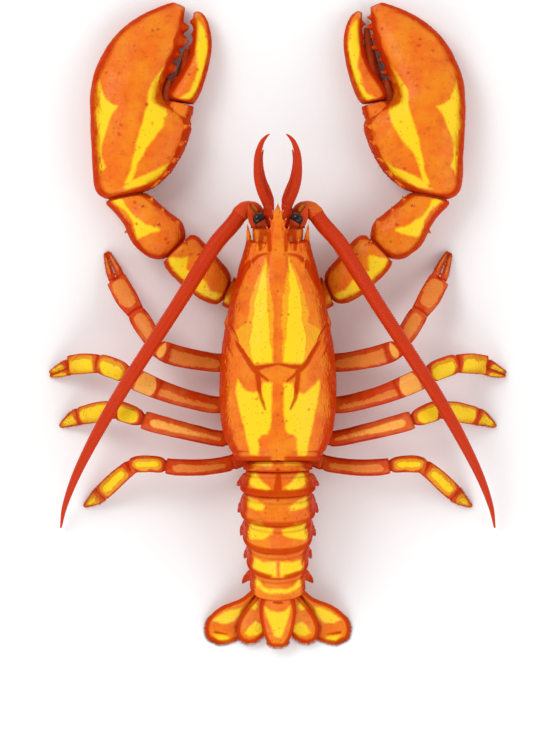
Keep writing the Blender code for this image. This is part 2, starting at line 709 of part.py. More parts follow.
def cheliped(side):
    """One arm: two short joints, the wrist, the palm with its fixed finger, and the moving finger."""
    name = SIDE_NAME[side]
    crusher = side == LEFT
    body(f"cheliped_ischium_{name}", trimmed(edge_rings(refined(ISCHIUM, 2), side, 14)), CLAW_ORANGE)
    merus = body(f"cheliped_merus_{name}", trimmed(edge_rings(refined(MERUS, 2), side, 16)), CLAW_ORANGE)
    fuse(merus, surface_spikes(MERUS, side, (0.62, 0.84), 1.15, 1.5, 3.0, 0.8))
    wrist = body(f"cheliped_carpus_{name}", trimmed(edge_rings(refined(CARPUS, 2), side, 16)), CLAW_ORANGE)
    inner_row = surface_spikes(CARPUS, side, (0.30, 0.50, 0.70), 0.55, 1.8, 3.2, 0.6)
    upper_row = surface_spikes(CARPUS, side, (0.40, 0.66), 1.3, 1.6, 2.6, 0.7)
    outer_corner = surface_spikes(CARPUS, side, (0.55,), math.pi - 0.2, 1.8, 2.4, -0.2)
    fuse(wrist, inner_row + upper_row + outer_corner)

    palm_rings = [on_floor(ring) for ring in trimmed(edge_rings(refined(PALM, 2), side, 14, 2.3))]
    palm = body(f"claw_palm_{name}", palm_rings, CLAW_ORANGE)
    socket = body("socket", trimmed(edge_rings(PALM_SOCKET, side, 12)), CLAW_ORANGE)
    margin = surface_spikes(PALM, side, (0.10, 0.16, 0.22, 0.28, 0.34), 0.55, 2.2, 3.8, 0.4)
    if crusher:
        fixed_teeth = biting_edge(PALM, side, (0.67, 0.735, 0.80, 0.865), 4.4, 5.0, 1)
        moving_teeth = biting_edge(FINGER, side, (0.32, 0.455, 0.57, 0.68, 0.80), 2.6, 2.4, -1)
    else:
        fixed_teeth = biting_edge(PALM, side, (0.65, 0.71, 0.77, 0.82, 0.87, 0.92), 2.2, 3.8, 1)
        moving_teeth = biting_edge(FINGER, side, (0.30, 0.42, 0.54, 0.66, 0.78), 2.0, 2.4, -1)
    fuse(palm, [socket, *margin, *fixed_teeth])
    finger_rings = [on_floor(ring) for ring in trimmed(edge_rings(refined(FINGER, 2), side, 10))]
    finger = body(f"claw_finger_{name}", finger_rings, CLAW_ORANGE)
    fuse(finger, moving_teeth)


def pincer(rows, tip, side):
    """The two thin fingers at the end of a small pincer, close together and down to the floor."""
    x, y, height, half_width, half_height = rows[-1]
    ahead = headings(rows)[-1]
    across = Vector((-ahead.y, ahead.x, 0))
    fingers = []
    for way in (-1, 1):
        start = Vector((x, y, height)) - ahead * 4.0 + UP * 2.4 + across * way * PINCER_SPREAD
        end = tip + across * way * 1.1
        middle = (start + end) / 2 + across * way * 0.5
        finger_rows = (
            (*start, 2.4, half_height * 0.7),
            (*middle, 2.0, 2.3),
            (*end, 0.7, 1.3),
        )
        fingers.append(tube("pincer", finger_rows, side, LEG_RED, 6, 2))
    return fingers


def walking_leg(number, side):
    """A walking leg as its upper length, out to the knee, and its lower length, down to the floor."""
    name = SIDE_NAME[side]
    upper, lower = LEG_UPPER[number], with_neck(LEG_LOWER[number], KNEE_NECK, 0.78)
    knee = (headings(upper)[-1] + headings(lower)[0]).normalized()
    outward = Vector((1, 0, 0))
    tube(f"leg_{number}_upper_{name}", upper, side, LEG_RED, 8, 2, outward, knee)
    shank = tube(f"leg_{number}_lower_{name}", lower, side, LEG_RED, 8, 2, knee)
    if number in PINCER_TIP:
        fuse(shank, pincer(lower, PINCER_TIP[number], side))


def tail_frame(joint):
    """The top point, the way back, and the way down of a tail joint's plane."""
    y, height, lean, half_width, depth = joint
    angle = math.radians(lean)
    top = Vector((0, y, height))
    back = Vector((0, math.cos(angle), -math.sin(angle)))
    down = Vector((0, -math.sin(angle), -math.cos(angle)))
    return top, back, down


def tail_ring(joint, size):
    """An arched ring of the tail in its joint's plane: round above, flat below."""
    top, _, down = tail_frame(joint)
    half_width, depth = joint[3] * size, joint[4]
    rise = (size - 1) * depth * 0.5
    points = []
    for i in range(TAIL_SIDES):
        angle = 2 * math.pi * (i + 0.5) / TAIL_SIDES
        c, s = math.cos(angle), math.sin(angle)
        if s > 0:
            x = half_width * math.copysign(abs(c) ** 0.9, c)
            drop = depth * 0.62 * (1 - s**0.9) - rise * s
        else:
            x = half_width * math.copysign(abs(c) ** 0.55, c)
            drop = depth * (0.62 + 0.38 * abs(s) ** 0.55)
        points.append(top + Vector((x, 0, 0)) + down * drop)
    return points


def between(first, second, share):
    """A tail joint part of the way from one to the next."""
    return tuple(a + (b - a) * share for a, b in zip(first, second))


def side_plate(number, side):
    """The pointed plate that hangs at each side of a tail ring."""
    joint = between(TAIL_JOINTS[number - 1], TAIL_JOINTS[number], 0.52)
    top, back, down = tail_frame(joint)
    half_width, depth = joint[3], joint[4]
    reach, flare, sweep = SIDE_PLATES[number]
    low = depth * 0.62 + reach * 0.6
    (front_top, _, front_down), (back_top, _, back_down) = (
        tail_frame(TAIL_JOINTS[k]) for k in (number - 1, number)
    )
    span = abs((back_top - front_top + (back_down - front_down) * low).y) * 0.5 - SIDE_PLATE_GAP
    root = top + down * depth * 0.62 + Vector(((half_width - 3.2) * side, 0, 0))
    out = Vector((flare * side, 0, 0)) + down
    length = depth * 0.30 + reach
    # A station is a share of the length, a share of the sweep, a share of the span, and a thickness
    stations = ((0.0, 0.0, 1.0, 2.2), (0.45, 0.20, 0.90, 1.8), (0.75, 0.55, 0.56, 1.4), (1.0, 1.0, 0.14, 0.7))
    rings = []
    for t, shift, size, thick in stations:
        middle = root + out * length * t + back * sweep * shift
        rings.append(oval(middle, back * span * size, Vector((thick, 0, 0)), 8))
    return body("side_plate", rings, SHELL_ORANGE)


def swimmeret(number, side):
    """The flat paddle that hangs under a tail ring."""
    joint = between(TAIL_JOINTS[number - 1], TAIL_JOINTS[number], 0.45)
    top, back, down = tail_frame(joint)
    root = top + down * (joint[4] - 2.5) + Vector((7.5 * side, 0, 0))
    ahead = (down + back * 0.75 + Vector((0.15 * side, 0, 0))).normalized()
    thick = ahead.cross(Vector((1, 0, 0))).normalized()
    stations = ((0.0, 1.8, 1.2), (0.35, 3.2, 0.9), (0.75, 3.6, 0.7), (1.0, 1.2, 0.5))
    rings = [
        oval(root + ahead * SWIMMERET_LENGTH[number] * t, Vector((wide, 0, 0)), thick * flat, 8, 2.0)
        for t, wide, flat in stations
    ]
    return body("swimmeret", rings, UNDERSIDE)


def tail():
    """Six rings, each with a raised hind rim over the next, side plates, and paddles below."""
    for number in range(1, 7):
        front, back = TAIL_JOINTS[number - 1], TAIL_JOINTS[number]
        stations = ((0.0, 0.93), (0.22, 0.97), (0.70, 1.02), (0.90, 1.07), (1.0, 1.05))
        rings = trimmed([tail_ring(between(front, back, t), size) for t, size in stations])
        ring = body(f"abdomen_{number}", rings, SHELL_ORANGE)
        pieces = [side_plate(number, side) for side in (LEFT, RIGHT)]
        if number in SWIMMERET_LENGTH:
            pieces += [swimmeret(number, side) for side in (LEFT, RIGHT)]
        fuse(ring, pieces)


def fan_blade(name, depth, x, turn, rest, stations):
    """A blade of the tail fan from the last ring's hind face, laid flat where it comes down to rest.

    Depth is how far down the face it starts and x how far to its side. Turn is its angle from
    straight back, and rest the height under which it does not go. Each station is a distance
    along it, a half width and a half thickness.
    """
    top, back, down = tail_frame(TAIL_JOINTS[-1])
    side_way = Vector((1, 0, 0))
    ahead = back * math.cos(turn) + side_way * math.sin(turn)
    root = top + down * depth + side_way * x
    upward = -down
    rings = []
    for i, (reach, half_width, half_thick) in enumerate(stations):
        across = side_way if i == 0 else side_way * math.cos(turn) - back * math.sin(turn)
        ring = []
        for point in oval(Vector(), Vector((half_width, 0, 0)), Vector((0, 0, half_thick)), 10, 3.0):
            place = root + ahead * reach + across * point.x + upward * point.z
            place.z = max(place.z, rest + max(0.0, half_thick + point.z))
            ring.append(place)
        rings.append(ring)
    start = rings[0]
    rings[0] = [p + back * GAP / 2 for p in start]
    return body(name, rings, SHELL_ORANGE)


def tail_fan():
    """The middle blade, with an inner and an outer blade at each side that spread under it."""
    fan_blade("telson", 4.4, 0.0, 0.0, FAN_REST["telson"], TELSON)
    for side in (LEFT, RIGHT):
        name = SIDE_NAME[side]
        inner_turn, outer_turn = INNER_TURN * side, OUTER_TURN * side
        fan_blade(f"uropod_inner_{name}", 9.6, 6.2 * side, inner_turn, FAN_REST["inner"], INNER_BLADE)
        fan_blade(f"uropod_outer_{name}", 13.4, 10.8 * side, outer_turn, FAN_REST["outer"], OUTER_BLADE)


def centre_on_floor():
    """Moves all of it along Y so that the origin is the middle of its length."""
    made = [thing for thing in bpy.data.objects if thing.type == "MESH"]
    places = [thing.location.y + corner.co.y for thing in made for corner in thing.data.vertices]
    middle = (min(places) + max(places)) / 2
    for thing in made:
        thing.location.y -= middle


def main():
    for old in list(bpy.data.objects):
        bpy.data.objects.remove(old)
    carapace()
    sternum()
    head()
    tail()
    tail_fan()
    for side in (LEFT, RIGHT):
        eye(side)
        small_feeler(side)
        feeler(side)
        mouth_leg(side)
        cheliped(side)
        for number in LEG_UPPER:
            walking_leg(number, side)
    centre_on_floor()


main()
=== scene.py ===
"""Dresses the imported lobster: fine shell relief, spines, teeth, bristles, membranes, colours and stage.

It is laid out as an add-on and run as a script. Lengths in the tables are millimetres; +X is the
animal's left, -Y the way it faces, and the floor is at height zero.
"""

import math

import bpy
import numpy as np
from bpy.props import FloatProperty, FloatVectorProperty, IntProperty, PointerProperty
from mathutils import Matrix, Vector
from mathutils.bvhtree import BVHTree
from mathutils.kdtree import KDTree


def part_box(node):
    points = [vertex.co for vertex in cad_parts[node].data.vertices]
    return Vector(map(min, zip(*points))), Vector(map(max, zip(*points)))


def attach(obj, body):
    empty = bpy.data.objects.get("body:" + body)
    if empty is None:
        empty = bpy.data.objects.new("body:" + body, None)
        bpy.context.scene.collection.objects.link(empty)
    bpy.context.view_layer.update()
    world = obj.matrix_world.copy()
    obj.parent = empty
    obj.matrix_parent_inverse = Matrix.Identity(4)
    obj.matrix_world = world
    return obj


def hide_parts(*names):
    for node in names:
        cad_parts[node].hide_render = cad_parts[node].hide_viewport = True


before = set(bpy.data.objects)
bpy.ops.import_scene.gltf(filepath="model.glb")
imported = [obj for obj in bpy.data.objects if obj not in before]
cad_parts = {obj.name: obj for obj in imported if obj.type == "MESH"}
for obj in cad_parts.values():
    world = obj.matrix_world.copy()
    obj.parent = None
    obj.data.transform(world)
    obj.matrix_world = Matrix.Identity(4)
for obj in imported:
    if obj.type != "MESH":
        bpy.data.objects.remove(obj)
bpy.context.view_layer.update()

bl_info = {
    "name": "Lobster model",
    "version": (1, 0, 0),
    "blender": (4, 5, 0),
    "location": "3D View > Sidebar > Lobster",
    "description": "Shell relief, spines, bristles and finishes for a life-size lobster model",
    "category": "Object",
}

MM = 0.001
SIDES = (("left", 1), ("right", -1))
LEGS = (1, 2, 3, 4)
RINGS = range(1, 7)
PADDLED_RINGS = (2, 3, 4, 5)
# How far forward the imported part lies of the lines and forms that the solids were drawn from
SHIFT = 0.36
# Side of the three-cornered face at the end of a coarse spine
SPINE_END = 0.6
# Share of yellow in a golden patch
GOLDEN = 0.46
# Where the grooves across the plate between the legs lie
STERNUM_GROOVES = (-21.0, -3.0, 8.0, 28.0, 48.0, 67.0)
# The carapace is the largest piece, so its mesh cells are larger than those of the other plates
CARAPACE_COARSER = 1.16
# How far the back of the face is pushed under the carapace
FACE_SHIFT = 2.8 * MM
# Mesh cells of the small parts
FINE_CELL = 0.30 * MM
EYE_CELL = 0.25 * MM
FAN_CELL = 0.40 * MM
FACE_CELL = 0.45 * MM
FEELER_CELL = 0.35 * MM
STERNUM_CELL = 0.70 * MM
# How thick a plug of joint skin is, how far its ends reach on, and its width next to the joint's
SKIN_HALF = 1.5
SKIN_END = 0.8
SKIN_WIDTH = 0.94
SKIN_END_WIDTH = 0.85
# Radius and height pairs of a spine and of a bristle, from root to tip
SPINE_PROFILE = ((1.0, 0.0), (0.80, 0.25), (0.55, 0.5), (0.28, 0.78), (0.09, 0.97), (0, 1.0))
BRISTLE_PROFILE = ((1.0, 0.0), (0.8, 0.4), (0.4, 0.8), (0, 1.0))
# How far each quarter of an antenna's ring stands out
RING_PROFILE = (-1.0, 0.1, 0.5, 0.9)
# Pitch of the wide rings that the stems of antennae and antennules are built of
STEM_PITCH = 5.0 * MM
# Side of one bristle's place on the OFBake map, and the pieces that share the map along each side
BAKE_PATCH = 0.003
BAKE_TILES = 4
# Studio lights: name, place and size in metres, power in watts
LIGHTS = (
    ("key", (0.85, -0.75, 1.25), 0.8, 9.5),
    ("fill", (-1.05, 0.2, 1.0), 1.0, 4.0),
    ("rim", (0.2, 1.25, 0.8), 0.8, 5.0),
)
# The camera looks straight down, from far off, as the picture has no perspective
CAMERA_PLACE = (1.98 * MM, 30.25 * MM, 3.764)
CAMERA_LENS = 300
SENSOR_WIDTH = 36
# Sockets of a Mix node that take and give colours
MIX_FIRST, MIX_SECOND, MIX_RESULT = 6, 7, 2

# The whip of an antenna, the last joint of its base, the lashes of an antennule and its stem: x, y,
# height, radius
WHIP = (
    (11.0, -65.7, 37.4, 3.6),
    (13.2, -67.9, 37.8, 4.0),
    (16.6, -68.9, 38.6, 4.3),
    (19.9, -68.1, 39.6, 4.5),
    (22.0, -66.2, 40.4, 4.7),
    (27.4, -58.9, 42.8, 4.8),
    (36.5, -48.4, 46.2, 4.75),
    (45.4, -34.4, 49.0, 4.6),
    (59.6, -11.4, 51.5, 4.3),
    (76.7, 14.9, 51.0, 4.1),
    (93.8, 41.4, 46.5, 3.95),
    (107.9, 65.4, 37.5, 3.45),
    (120.4, 89.6, 24.0, 2.6),
    (127.8, 108.8, 12.0, 1.65),
    (130.5, 122.0, 4.5, 0.6),
)
WHIP_STEM = (
    (11.6, -66.5, 37.5, 3.8),
    (13.2, -67.9, 37.8, 4.4),
    (16.6, -68.9, 38.6, 4.8),
    (19.9, -68.1, 39.6, 5.0),
    (22.0, -66.2, 40.4, 5.2),
    (23.4, -64.4, 41.0, 4.7),
)
LASHES = (
    (
        (5.6, -70.4, 45.6, 2.9),
        (6.9, -73.5, 46.8, 3.0),
        (9.4, -79.0, 48.2, 2.95),
        (11.4, -86.2, 50.2, 2.75),
        (12.0, -93.5, 52.4, 2.4),
        (11.7, -100.7, 54.8, 2.0),
        (9.7, -107.3, 57.0, 1.5),
        (7.2, -110.8, 58.4, 0.95),
        (4.9, -112.6, 59.0, 0.3),
    ),
    (
        (4.6, -70.4, 45.0, 1.9),
        (4.2, -74.0, 44.6, 1.9),
        (6.0, -79.5, 45.4, 1.9),
        (8.5, -86.0, 46.8, 1.7),
        (9.8, -93.0, 48.6, 1.4),
        (9.8, -98.6, 50.0, 1.0),
        (8.6, -103.6, 51.4, 0.3),
    ),
)
ANTENNULE_STEM = ((4.6, -57.1, 41.5, 3.0), (4.9, -63.4, 43.5, 3.3), (5.5, -71.4, 45.8, 3.1))

# Yellow patches seen from above: outlines of x and y points for the left side, mirrored on the right
CARAPACE_YELLOW = (
    (
        (6.6, -38.8), (11.0, -27.5), (14.0, -13.0), (15.4, 0.0), (17.2, 9.5), (16.2, 17.5), (14.4, 23.4),
        (3.0, 22.8), (3.2, 14.0), (4.6, 3.0), (5.8, -11.0), (6.2, -26.0),
    ),
    (
        (24.4, 32.2), (24.8, 41.5), (23.4, 47.0), (21.8, 54.0), (20.4, 60.0), (19.4, 66.0), (18.2, 72.0),
        (16.6, 78.0), (12.4, 78.0), (11.0, 73.0), (11.5, 68.0), (9.5, 65.5), (6.2, 65.3), (4.3, 62.0),
        (4.0, 54.0), (3.4, 44.0), (3.6, 35.2), (9.0, 35.2), (10.2, 42.0), (12.5, 40.0), (15.0, 41.2),
        (18.2, 39.6), (21.4, 36.0),
    ),
)
CARAPACE_GOLD = (
    (
        (6.6, -40.0), (12.5, -28.0), (17.0, -13.0), (18.8, -1.0), (26.0, 3.4), (24.8, 8.4), (20.2, 15.5),
        (15.5, 24.4), (2.4, 23.8), (2.0, 10.0), (2.2, -10.0), (4.8, -27.0),
    ),
)
TAIL_YELLOW = (
    ((18.2, 82.8), (10.1, 80.5), (4.5, 80.4), (3.2, 82.0), (4.0, 83.9), (9.5, 84.0), (14.0, 83.4)),
    (
        (17.9, 86.4), (13.2, 86.2), (11.9, 89.4), (9.0, 93.4), (3.8, 97.1), (6.7, 98.8), (13.0, 97.4),
        (17.0, 94.4), (20.8, 91.8),
    ),
    ((19.6, 100.3), (14.7, 103.7), (9.2, 106.0), (7.2, 108.4), (8.6, 110.4), (13.2, 110.2), (18.6, 108.0)),
    (
        (16.8, 117.8), (10.1, 116.9), (7.6, 119.8), (2.2, 121.5), (3.2, 124.6), (7.8, 127.4), (16.4, 128.3),
        (18.8, 126.1),
    ),
    ((13.8, 139.0), (9.0, 141.2), (1.0, 141.2), (1.0, 150.2), (5.5, 149.4), (15.5, 145.4)),
    (
        (15.8, 153.0), (13.0, 152.0), (9.0, 156.3), (4.0, 157.9), (-3.0, 158.2), (-3.0, 161.4), (5.0, 160.6),
        (10.1, 158.8), (14.9, 156.0),
    ),
)
CLAW_YELLOW = (
    (
        (67.5, -155.9), (71.5, -149.6), (75.5, -143.3), (77.8, -139.3), (78.4, -131.3), (80.1, -124.4),
        (84.1, -110.4), (85.6, -104.0), (87.6, -93.6), (91.0, -84.4), (86.7, -83.4), (85.8, -90.0),
        (83.8, -95.3), (78.7, -104.5), (73.4, -111.0), (68.6, -118.6), (66.3, -126.7), (67.2, -134.7),
        (69.8, -139.9), (70.3, -144.5), (66.3, -147.3),
    ),
    (
        (87.9, -85.8), (78.7, -90.1), (64.9, -96.4), (66.8, -92.0), (74.1, -86.1), (78.7, -83.2),
        (82.1, -82.4), (90.0, -81.0), (92.5, -81.6),
    ),
    (
        (107.1, -146.2), (105.3, -139.9), (102.5, -134.1), (97.9, -131.0), (95.0, -130.4), (98.5, -125.5),
        (101.9, -117.5), (104.2, -110.4), (105.1, -107.9), (104.5, -99.3), (102.8, -94.1), (106.2, -89.5),
        (108.6, -102.2), (109.6, -116.5), (110.2, -131.3), (109.6, -139.9),
    ),
    (
        (48.8, -185.6), (44.3, -177.8), (41.9, -169.7), (42.2, -160.0), (44.2, -150.8), (46.6, -142.7),
        (50.5, -134.0), (58.2, -135.2), (53.1, -139.3), (49.9, -145.0), (48.1, -154.2), (48.7, -162.3),
        (50.0, -166.8), (48.8, -177.2),
    ),
)
ARM_YELLOW = (
    (
        (105.2, -79.0), (96.5, -76.9), (91.9, -74.6), (90.7, -70.6), (85.6, -64.9), (79.8, -60.3),
        (70.6, -57.4), (70.6, -55.7), (77.5, -53.4), (84.2, -51.0), (85.6, -56.3), (87.2, -62.0),
        (91.2, -67.7), (98.4, -73.1), (103.9, -75.4),
    ),
    (
        (67.0, -39.4), (54.2, -40.8), (54.6, -33.0), (46.0, -27.5), (43.6, -25.6), (40.4, -20.6),
        (29.5, -16.8), (29.5, -13.8), (41.5, -14.8), (49.0, -17.4), (57.8, -24.2), (62.6, -31.0),
    ),
)
STEM_YELLOW = (((12.4, -65.6), (12.9, -69.2), (15.8, -71.4), (18.6, -69.0), (16.2, -68.2), (14.4, -66.6)),)
FAN_YELLOW = (
    ((8.4, 168.2), (4.2, 171.4), (-3.0, 172.4), (-3.0, 189.0), (2.4, 187.6), (4.3, 181.5), (5.8, 177.0)),
    ((13.2, 163.9), (12.2, 169.3), (13.8, 171.3), (18.0, 170.2), (16.2, 166.4)),
    (
        (13.8, 178.0), (10.0, 180.2), (9.9, 184.8), (12.5, 186.6), (17.0, 187.4), (19.8, 186.0),
        (16.8, 181.0),
    ),
    ((38.6, 178.0), (32.0, 172.2), (22.0, 169.8), (23.0, 174.4), (27.6, 179.0), (34.0, 180.0)),
    ((38.4, 186.7), (30.7, 187.2), (27.0, 189.0), (30.7, 191.4), (35.8, 190.8)),
)
# Dark lines seen from above: x, y and half width points for the left side, mirrored on the right
# The carapace's lines are cut as grooves, and the dark in them is painted shade
CARAPACE_GROOVES = (
    (
        (0.0, 23.6, 0.4), (3.4, 24.2, 0.9), (9.0, 25.4, 1.2), (14.6, 26.0, 1.6), (19.5, 19.6, 1.3),
        (24.3, 12.2, 0.9), (25.6, 9.6, 0.3),
    ),
    ((14.2, 27.0, 1.4), (5.9, 34.0, 0.5)),
    ((12.2, 28.5, 1.6), (11.4, 38.0, 1.3), (10.2, 44.0, 1.2), (7.4, 50.4, 0.5)),
)
CARAPACE_DARK = (
    ((6.3, -41.5, 0.6), (11.5, -40.3, 1.0), (16.5, -36.8, 1.6), (20.5, -31.0, 2.2), (24.0, -22.0, 1.4)),
    ((4.9, -43.8, 1.3), (5.4, -54.6, 1.5), (7.6, -54.6, 2.4), (9.9, -54.6, 1.5), (10.4, -44.2, 1.2)),
)
TAIL_DARK = (
    ((0.0, 87.0, 1.5), (0.0, 93.0, 1.9), (0.0, 99.0, 2.4)),
    ((0.0, 103.4, 0.9), (0.0, 105.2, 0.6)),
)
FAN_DARK = (
    ((0.0, 166.4, 0.9), (2.6, 166.2, 0.7)),
    ((37.5, 185.4, 0.8), (30.5, 186.2, 0.3)),
)
# The claw's dark lines are painted shade beside the biting edge of the fixed finger
CLAW_SHADE_LINES = (
    ((60.0, -176.4, 0.4), (61.6, -170.0, 0.9), (61.9, -163.6, 0.7)),
    ((64.4, -160.4, 0.6), (66.0, -150.6, 0.5)),
)
# The knobs on the inner side of the palm lie behind this y, in metres
KNOBS_BEHIND = -0.128
# Where the dark hind band of each tail ring starts, as a share of the ring. The band is the ring's dark rim,
# widened with painted shadow where the ring lies over the next one
TAIL_BANDS = {1: 0.88, 2: 0.72, 3: 0.85, 4: 0.80, 5: 0.83, 6: 0.95}
# Along the carapace: where its hind groove lies, where its hind rim rises, where the ridges of the beak
# start and where they fade out
HIND_GROOVE = 76.4
HIND_RIM = (77.4, 79.0)
BEAK_FRONT = (-62, -58)
BEAK_BACK = (-34, -26)
# The tip of the beak and the way it points
BEAK_TIP = ((0, -71.6, 62.3), (0, -1, 0.12))
# Grooves of a tail ring as shares of it, and the ring whose dark band is open in the middle
FRONT_GROOVE = 0.24
HIND_CREASE = 0.80
SPLIT_BAND = 5
# Blades of the tail fan: root x, turn in degrees and length
BLADES = {"telson": (0.0, 0.0, 40.0), "uropod_inner": (6.2, 17, 43.0), "uropod_outer": (10.8, 32, 53.0)}
# How far along the outer blades their suture lies
SUTURE = 36.0
# Lengths of the bristles of swimmerets, antennal scales, maxillipeds and feet
PADDLE_BRISTLE = 2.4 * MM
SCALE_BRISTLE = 2.2 * MM
JAW_BRISTLE = 2.6 * MM
FOOT_BRISTLE = 1.6 * MM
# How far from a leg's tip its bristles start and end
FOOT_REACH = (2, 17)
# The groove across the solid carapace: y on the back, sweep down the sides, half width, depth
SOLID_GROOVE = (30.0, 34.0, 2.8, 1.45)
# The solid carapace near it: y, half width, top and bottom
CARAPACE_FORM = (
    (-30.0, 24.2, 63.5, 26.0), (-8.0, 29.8, 67.5, 21.5), (14.0, 33.6, 70.5, 19.4), (36.0, 35.4, 72.0, 19.0),
)
# How high up that form is widest, and the power that squares its arch
FORM_WIDEST = 0.40
FORM_POWER = 1.087
# The curved groove where it runs on down the flank: x, y, height
FLANK_GROOVE = (
    (25.6, 9.6, 62.0), (28.0, 5.2, 58.0), (30.8, -2.0, 47.0), (29.8, -11.0, 40.0), (27.0, -21.0, 35.5),
    (24.0, -31.0, 33.0),
)
# Biting edges of the claw's fixed and moving fingers: x, y, height
FIXED_BITE = (
    (66.0, -150.4, 13.8), (62.5, -159.4, 12.8), (58.8, -168.4, 11.6), (56.8, -177.4, 10.2),
    (56.2, -185.4, 8.4),
)
MOVING_BITE = (
    (64.6, -141.9, 14.0), (57.8, -151.9, 13.2), (53.2, -161.2, 12.2), (51.2, -170.4, 11.0),
    (50.6, -178.9, 9.6), (50.8, -184.9, 8.4),
)
BITES = {"palm": (FIXED_BITE, -1), "finger": (MOVING_BITE, 1)}
# Rounds of smoothing that turn the coarse teeth into molars on the left and cutting teeth on the right
TOOTH_ROUNDING = {"left": 36, "right": 14}
# Soft skin in the corner between the palm and the moving finger: x, y, height, radius
CLAW_WEB = (
    (66.6, -132.6, 14.2, 4.2), (66.4, -137.5, 14.2, 4.0), (65.8, -143.0, 14.0, 3.0),
    (65.2, -147.5, 13.8, 1.2),
)
# Middle of the hinge between the palm and the moving finger
HINGE = (57.5, -127.5, 14.0)
# The ends of the claw's fixed and moving fingers
CLAW_TIPS = ((58.4, -191.6, 6.2), (49.8, -187.8, 7.4))

# The middle line of each walking leg from its root to its tip: x, y, height
LEG_LINES = {
    1: (
        (12, 19, 13), (22, 21.5, 12.9), (33, 23.5, 14), (50, 21.5, 21.5), (66, 17.5, 28.5), (72.5, 14, 30),
        (77.5, 5, 29), (85, -7, 23.4), (91, -16, 17.4), (97.2, -27, 10), (103.4, -43.5, 1.2),
    ),
    2: (
        (12, 40, 13), (22, 43.5, 12.9), (33, 49, 14), (50, 46, 21.5), (68, 40.5, 29), (89, 31, 33.3),
        (96, 27.3, 31.5), (107, 23.9, 25.2), (116, 23.7, 18), (126, 24.8, 9.6), (137.6, 30.4, 1.2),
    ),
    3: (
        (12, 59.5, 13), (21, 64, 12.9), (31, 69.3, 14.2), (48, 66, 21), (66, 61.5, 28), (80.5, 57.2, 31.6),
        (88, 54.2, 31), (97, 51.4, 27), (107, 52.6, 19.5), (119, 55.3, 9.5), (131.5, 61.8, 1.2),
    ),
    4: (
        (12, 75.5, 13), (20, 79.5, 12.9), (28, 83.5, 14.5), (45, 86, 21), (60, 85.8, 26), (67, 84.8, 27.5),
        (76, 83.7, 28), (88, 85.8, 24), (97, 93.2, 16), (106, 101.6, 8), (117, 110, 1.1),
    ),
}
# The point of those lines at the knee, and the points with a groove
LEG_KNEE = 5
LEG_GROOVES = (2, 7, 9)
# The light line along a leg's outer and inner joints, a painted highlight: lean towards its hind side in
# degrees, how square to that lean the surface is where the line starts and where it is full, and how light
# it is
OUTER_LINES = {
    1: (0, 0.84, 0.96, 0.5), 2: (22, 0.74, 0.88, 1.0), 3: (8, 0.80, 0.92, 1.0), 4: (0, 0.93, 0.99, 1.0),
}
INNER_LINES = {
    1: (6, 0.82, 0.94, 0.5), 2: (10, 0.88, 0.97, 0.5), 3: (0, 0.90, 0.97, 0.8), 4: (6, 0.88, 0.97, 0.5),
}
# A pale spot on the inner joint short of the knee: distance to the knee and half length
KNEE_SPOTS = {1: (3.0, 2.5), 2: (11.0, 6.5)}

# Tail joints: top of the back as y and height, and lean back in degrees
TAIL_JOINTS = (
    (80.8, 65.5, 0.0),
    (87.6, 65.6, 4.0),
    (102.6, 63.5, 12.0),
    (120.1, 58.0, 21.0),
    (136.6, 49.8, 30.0),
    (151.6, 40.0, 36.0),
    (165.1, 29.5, 40.0),
)


def length_setting(name, description, millimetres):
    return FloatProperty(name=name, description=description, default=millimetres * MM, unit="LENGTH")


def colour_setting(name, description, value):
    return FloatVectorProperty(name=name, description=description, subtype="COLOR", default=value)


class LobsterSizes(bpy.types.PropertyGroup):
    """Sizes of the fine relief."""

    cell: length_setting("Mesh fineness", "Side of a mesh cell of the shell plates", 0.52)
    limb_cell: length_setting("Limb fineness", "Side of a mesh cell of legs and small parts", 0.48)
    granule: length_setting("Granule height", "How far the fine grains of the shell stand up", 0.14)
    swell: length_setting("Unevenness", "How far the shell swells and dips over a centimetre or so", 0.22)
    ring_pitch: length_setting("Antenna ring pitch", "Length of one ring of an antenna", 1.5)
    bristle: length_setting("Bristle length", "Length of the bristles along the tail fan", 2.2)
    seed: IntProperty(name="Seed", description="Seed for bristles and spots", default=7, min=0)


class LobsterColours(bpy.types.PropertyGroup):
    """Colours of the shell and stage."""

    shell: colour_setting("Shell", "Orange of the shell", (0.78, 0.150, 0.008))
    light: colour_setting("Patches", "Yellow of the patches", (0.90, 0.60, 0.012))
    # The edge red also paints shade on faces that turn sideways, in grooves and between parts
    dark: colour_setting("Edges", "Dark red of edges and spines", (0.47, 0.020, 0.001))
    leg: colour_setting("Legs", "Red of the walking legs", (0.60, 0.050, 0.004))
    # Pale orange of the painted highlight along the legs
    leg_line: colour_setting("Leg lines", "Pale orange of the lines along the legs", (0.93, 0.42, 0.07))
    feeler: colour_setting("Feelers", "Red of the antennae", (0.54, 0.030, 0.001))
    feeler_light: colour_setting("Feeler mottle", "Lighter red of the antennae", (0.60, 0.045, 0.002))
    under: colour_setting("Underside", "Pale orange of the underside", (0.88, 0.42, 0.17))
    skin: colour_setting("Joint skin", "Dark red of the skin in the joints", (0.42, 0.045, 0.006))
    bristle: colour_setting("Bristles", "Red brown of the bristles", (0.56, 0.09, 0.012))
    eye: colour_setting("Eyes", "Black of the eyes", (0.006, 0.004, 0.004))
    floor: colour_setting("Floor", "White of the floor", (0.93, 0.93, 0.93))


def sizes():
    return bpy.context.scene.lobster_sizes


def colours():
    return bpy.context.scene.lobster_colours


def select_only(*things):
    """Leaves just these selected, the first of them active."""
    if bpy.context.object and bpy.context.object.mode != "OBJECT":
        bpy.ops.object.mode_set(mode="OBJECT")
    bpy.ops.object.select_all(action="DESELECT")
    for thing in things:
        thing.select_set(True)
    bpy.context.view_layer.objects.active = things[0]


def apply_modifier(piece, kind, **settings):
    """Adds a modifier with these settings and applies it."""
    select_only(piece)
    modifier = piece.modifiers.new(kind.title(), kind)
    for name, value in settings.items():
        setattr(modifier, name, value)
    bpy.ops.object.modifier_apply(modifier=modifier.name)


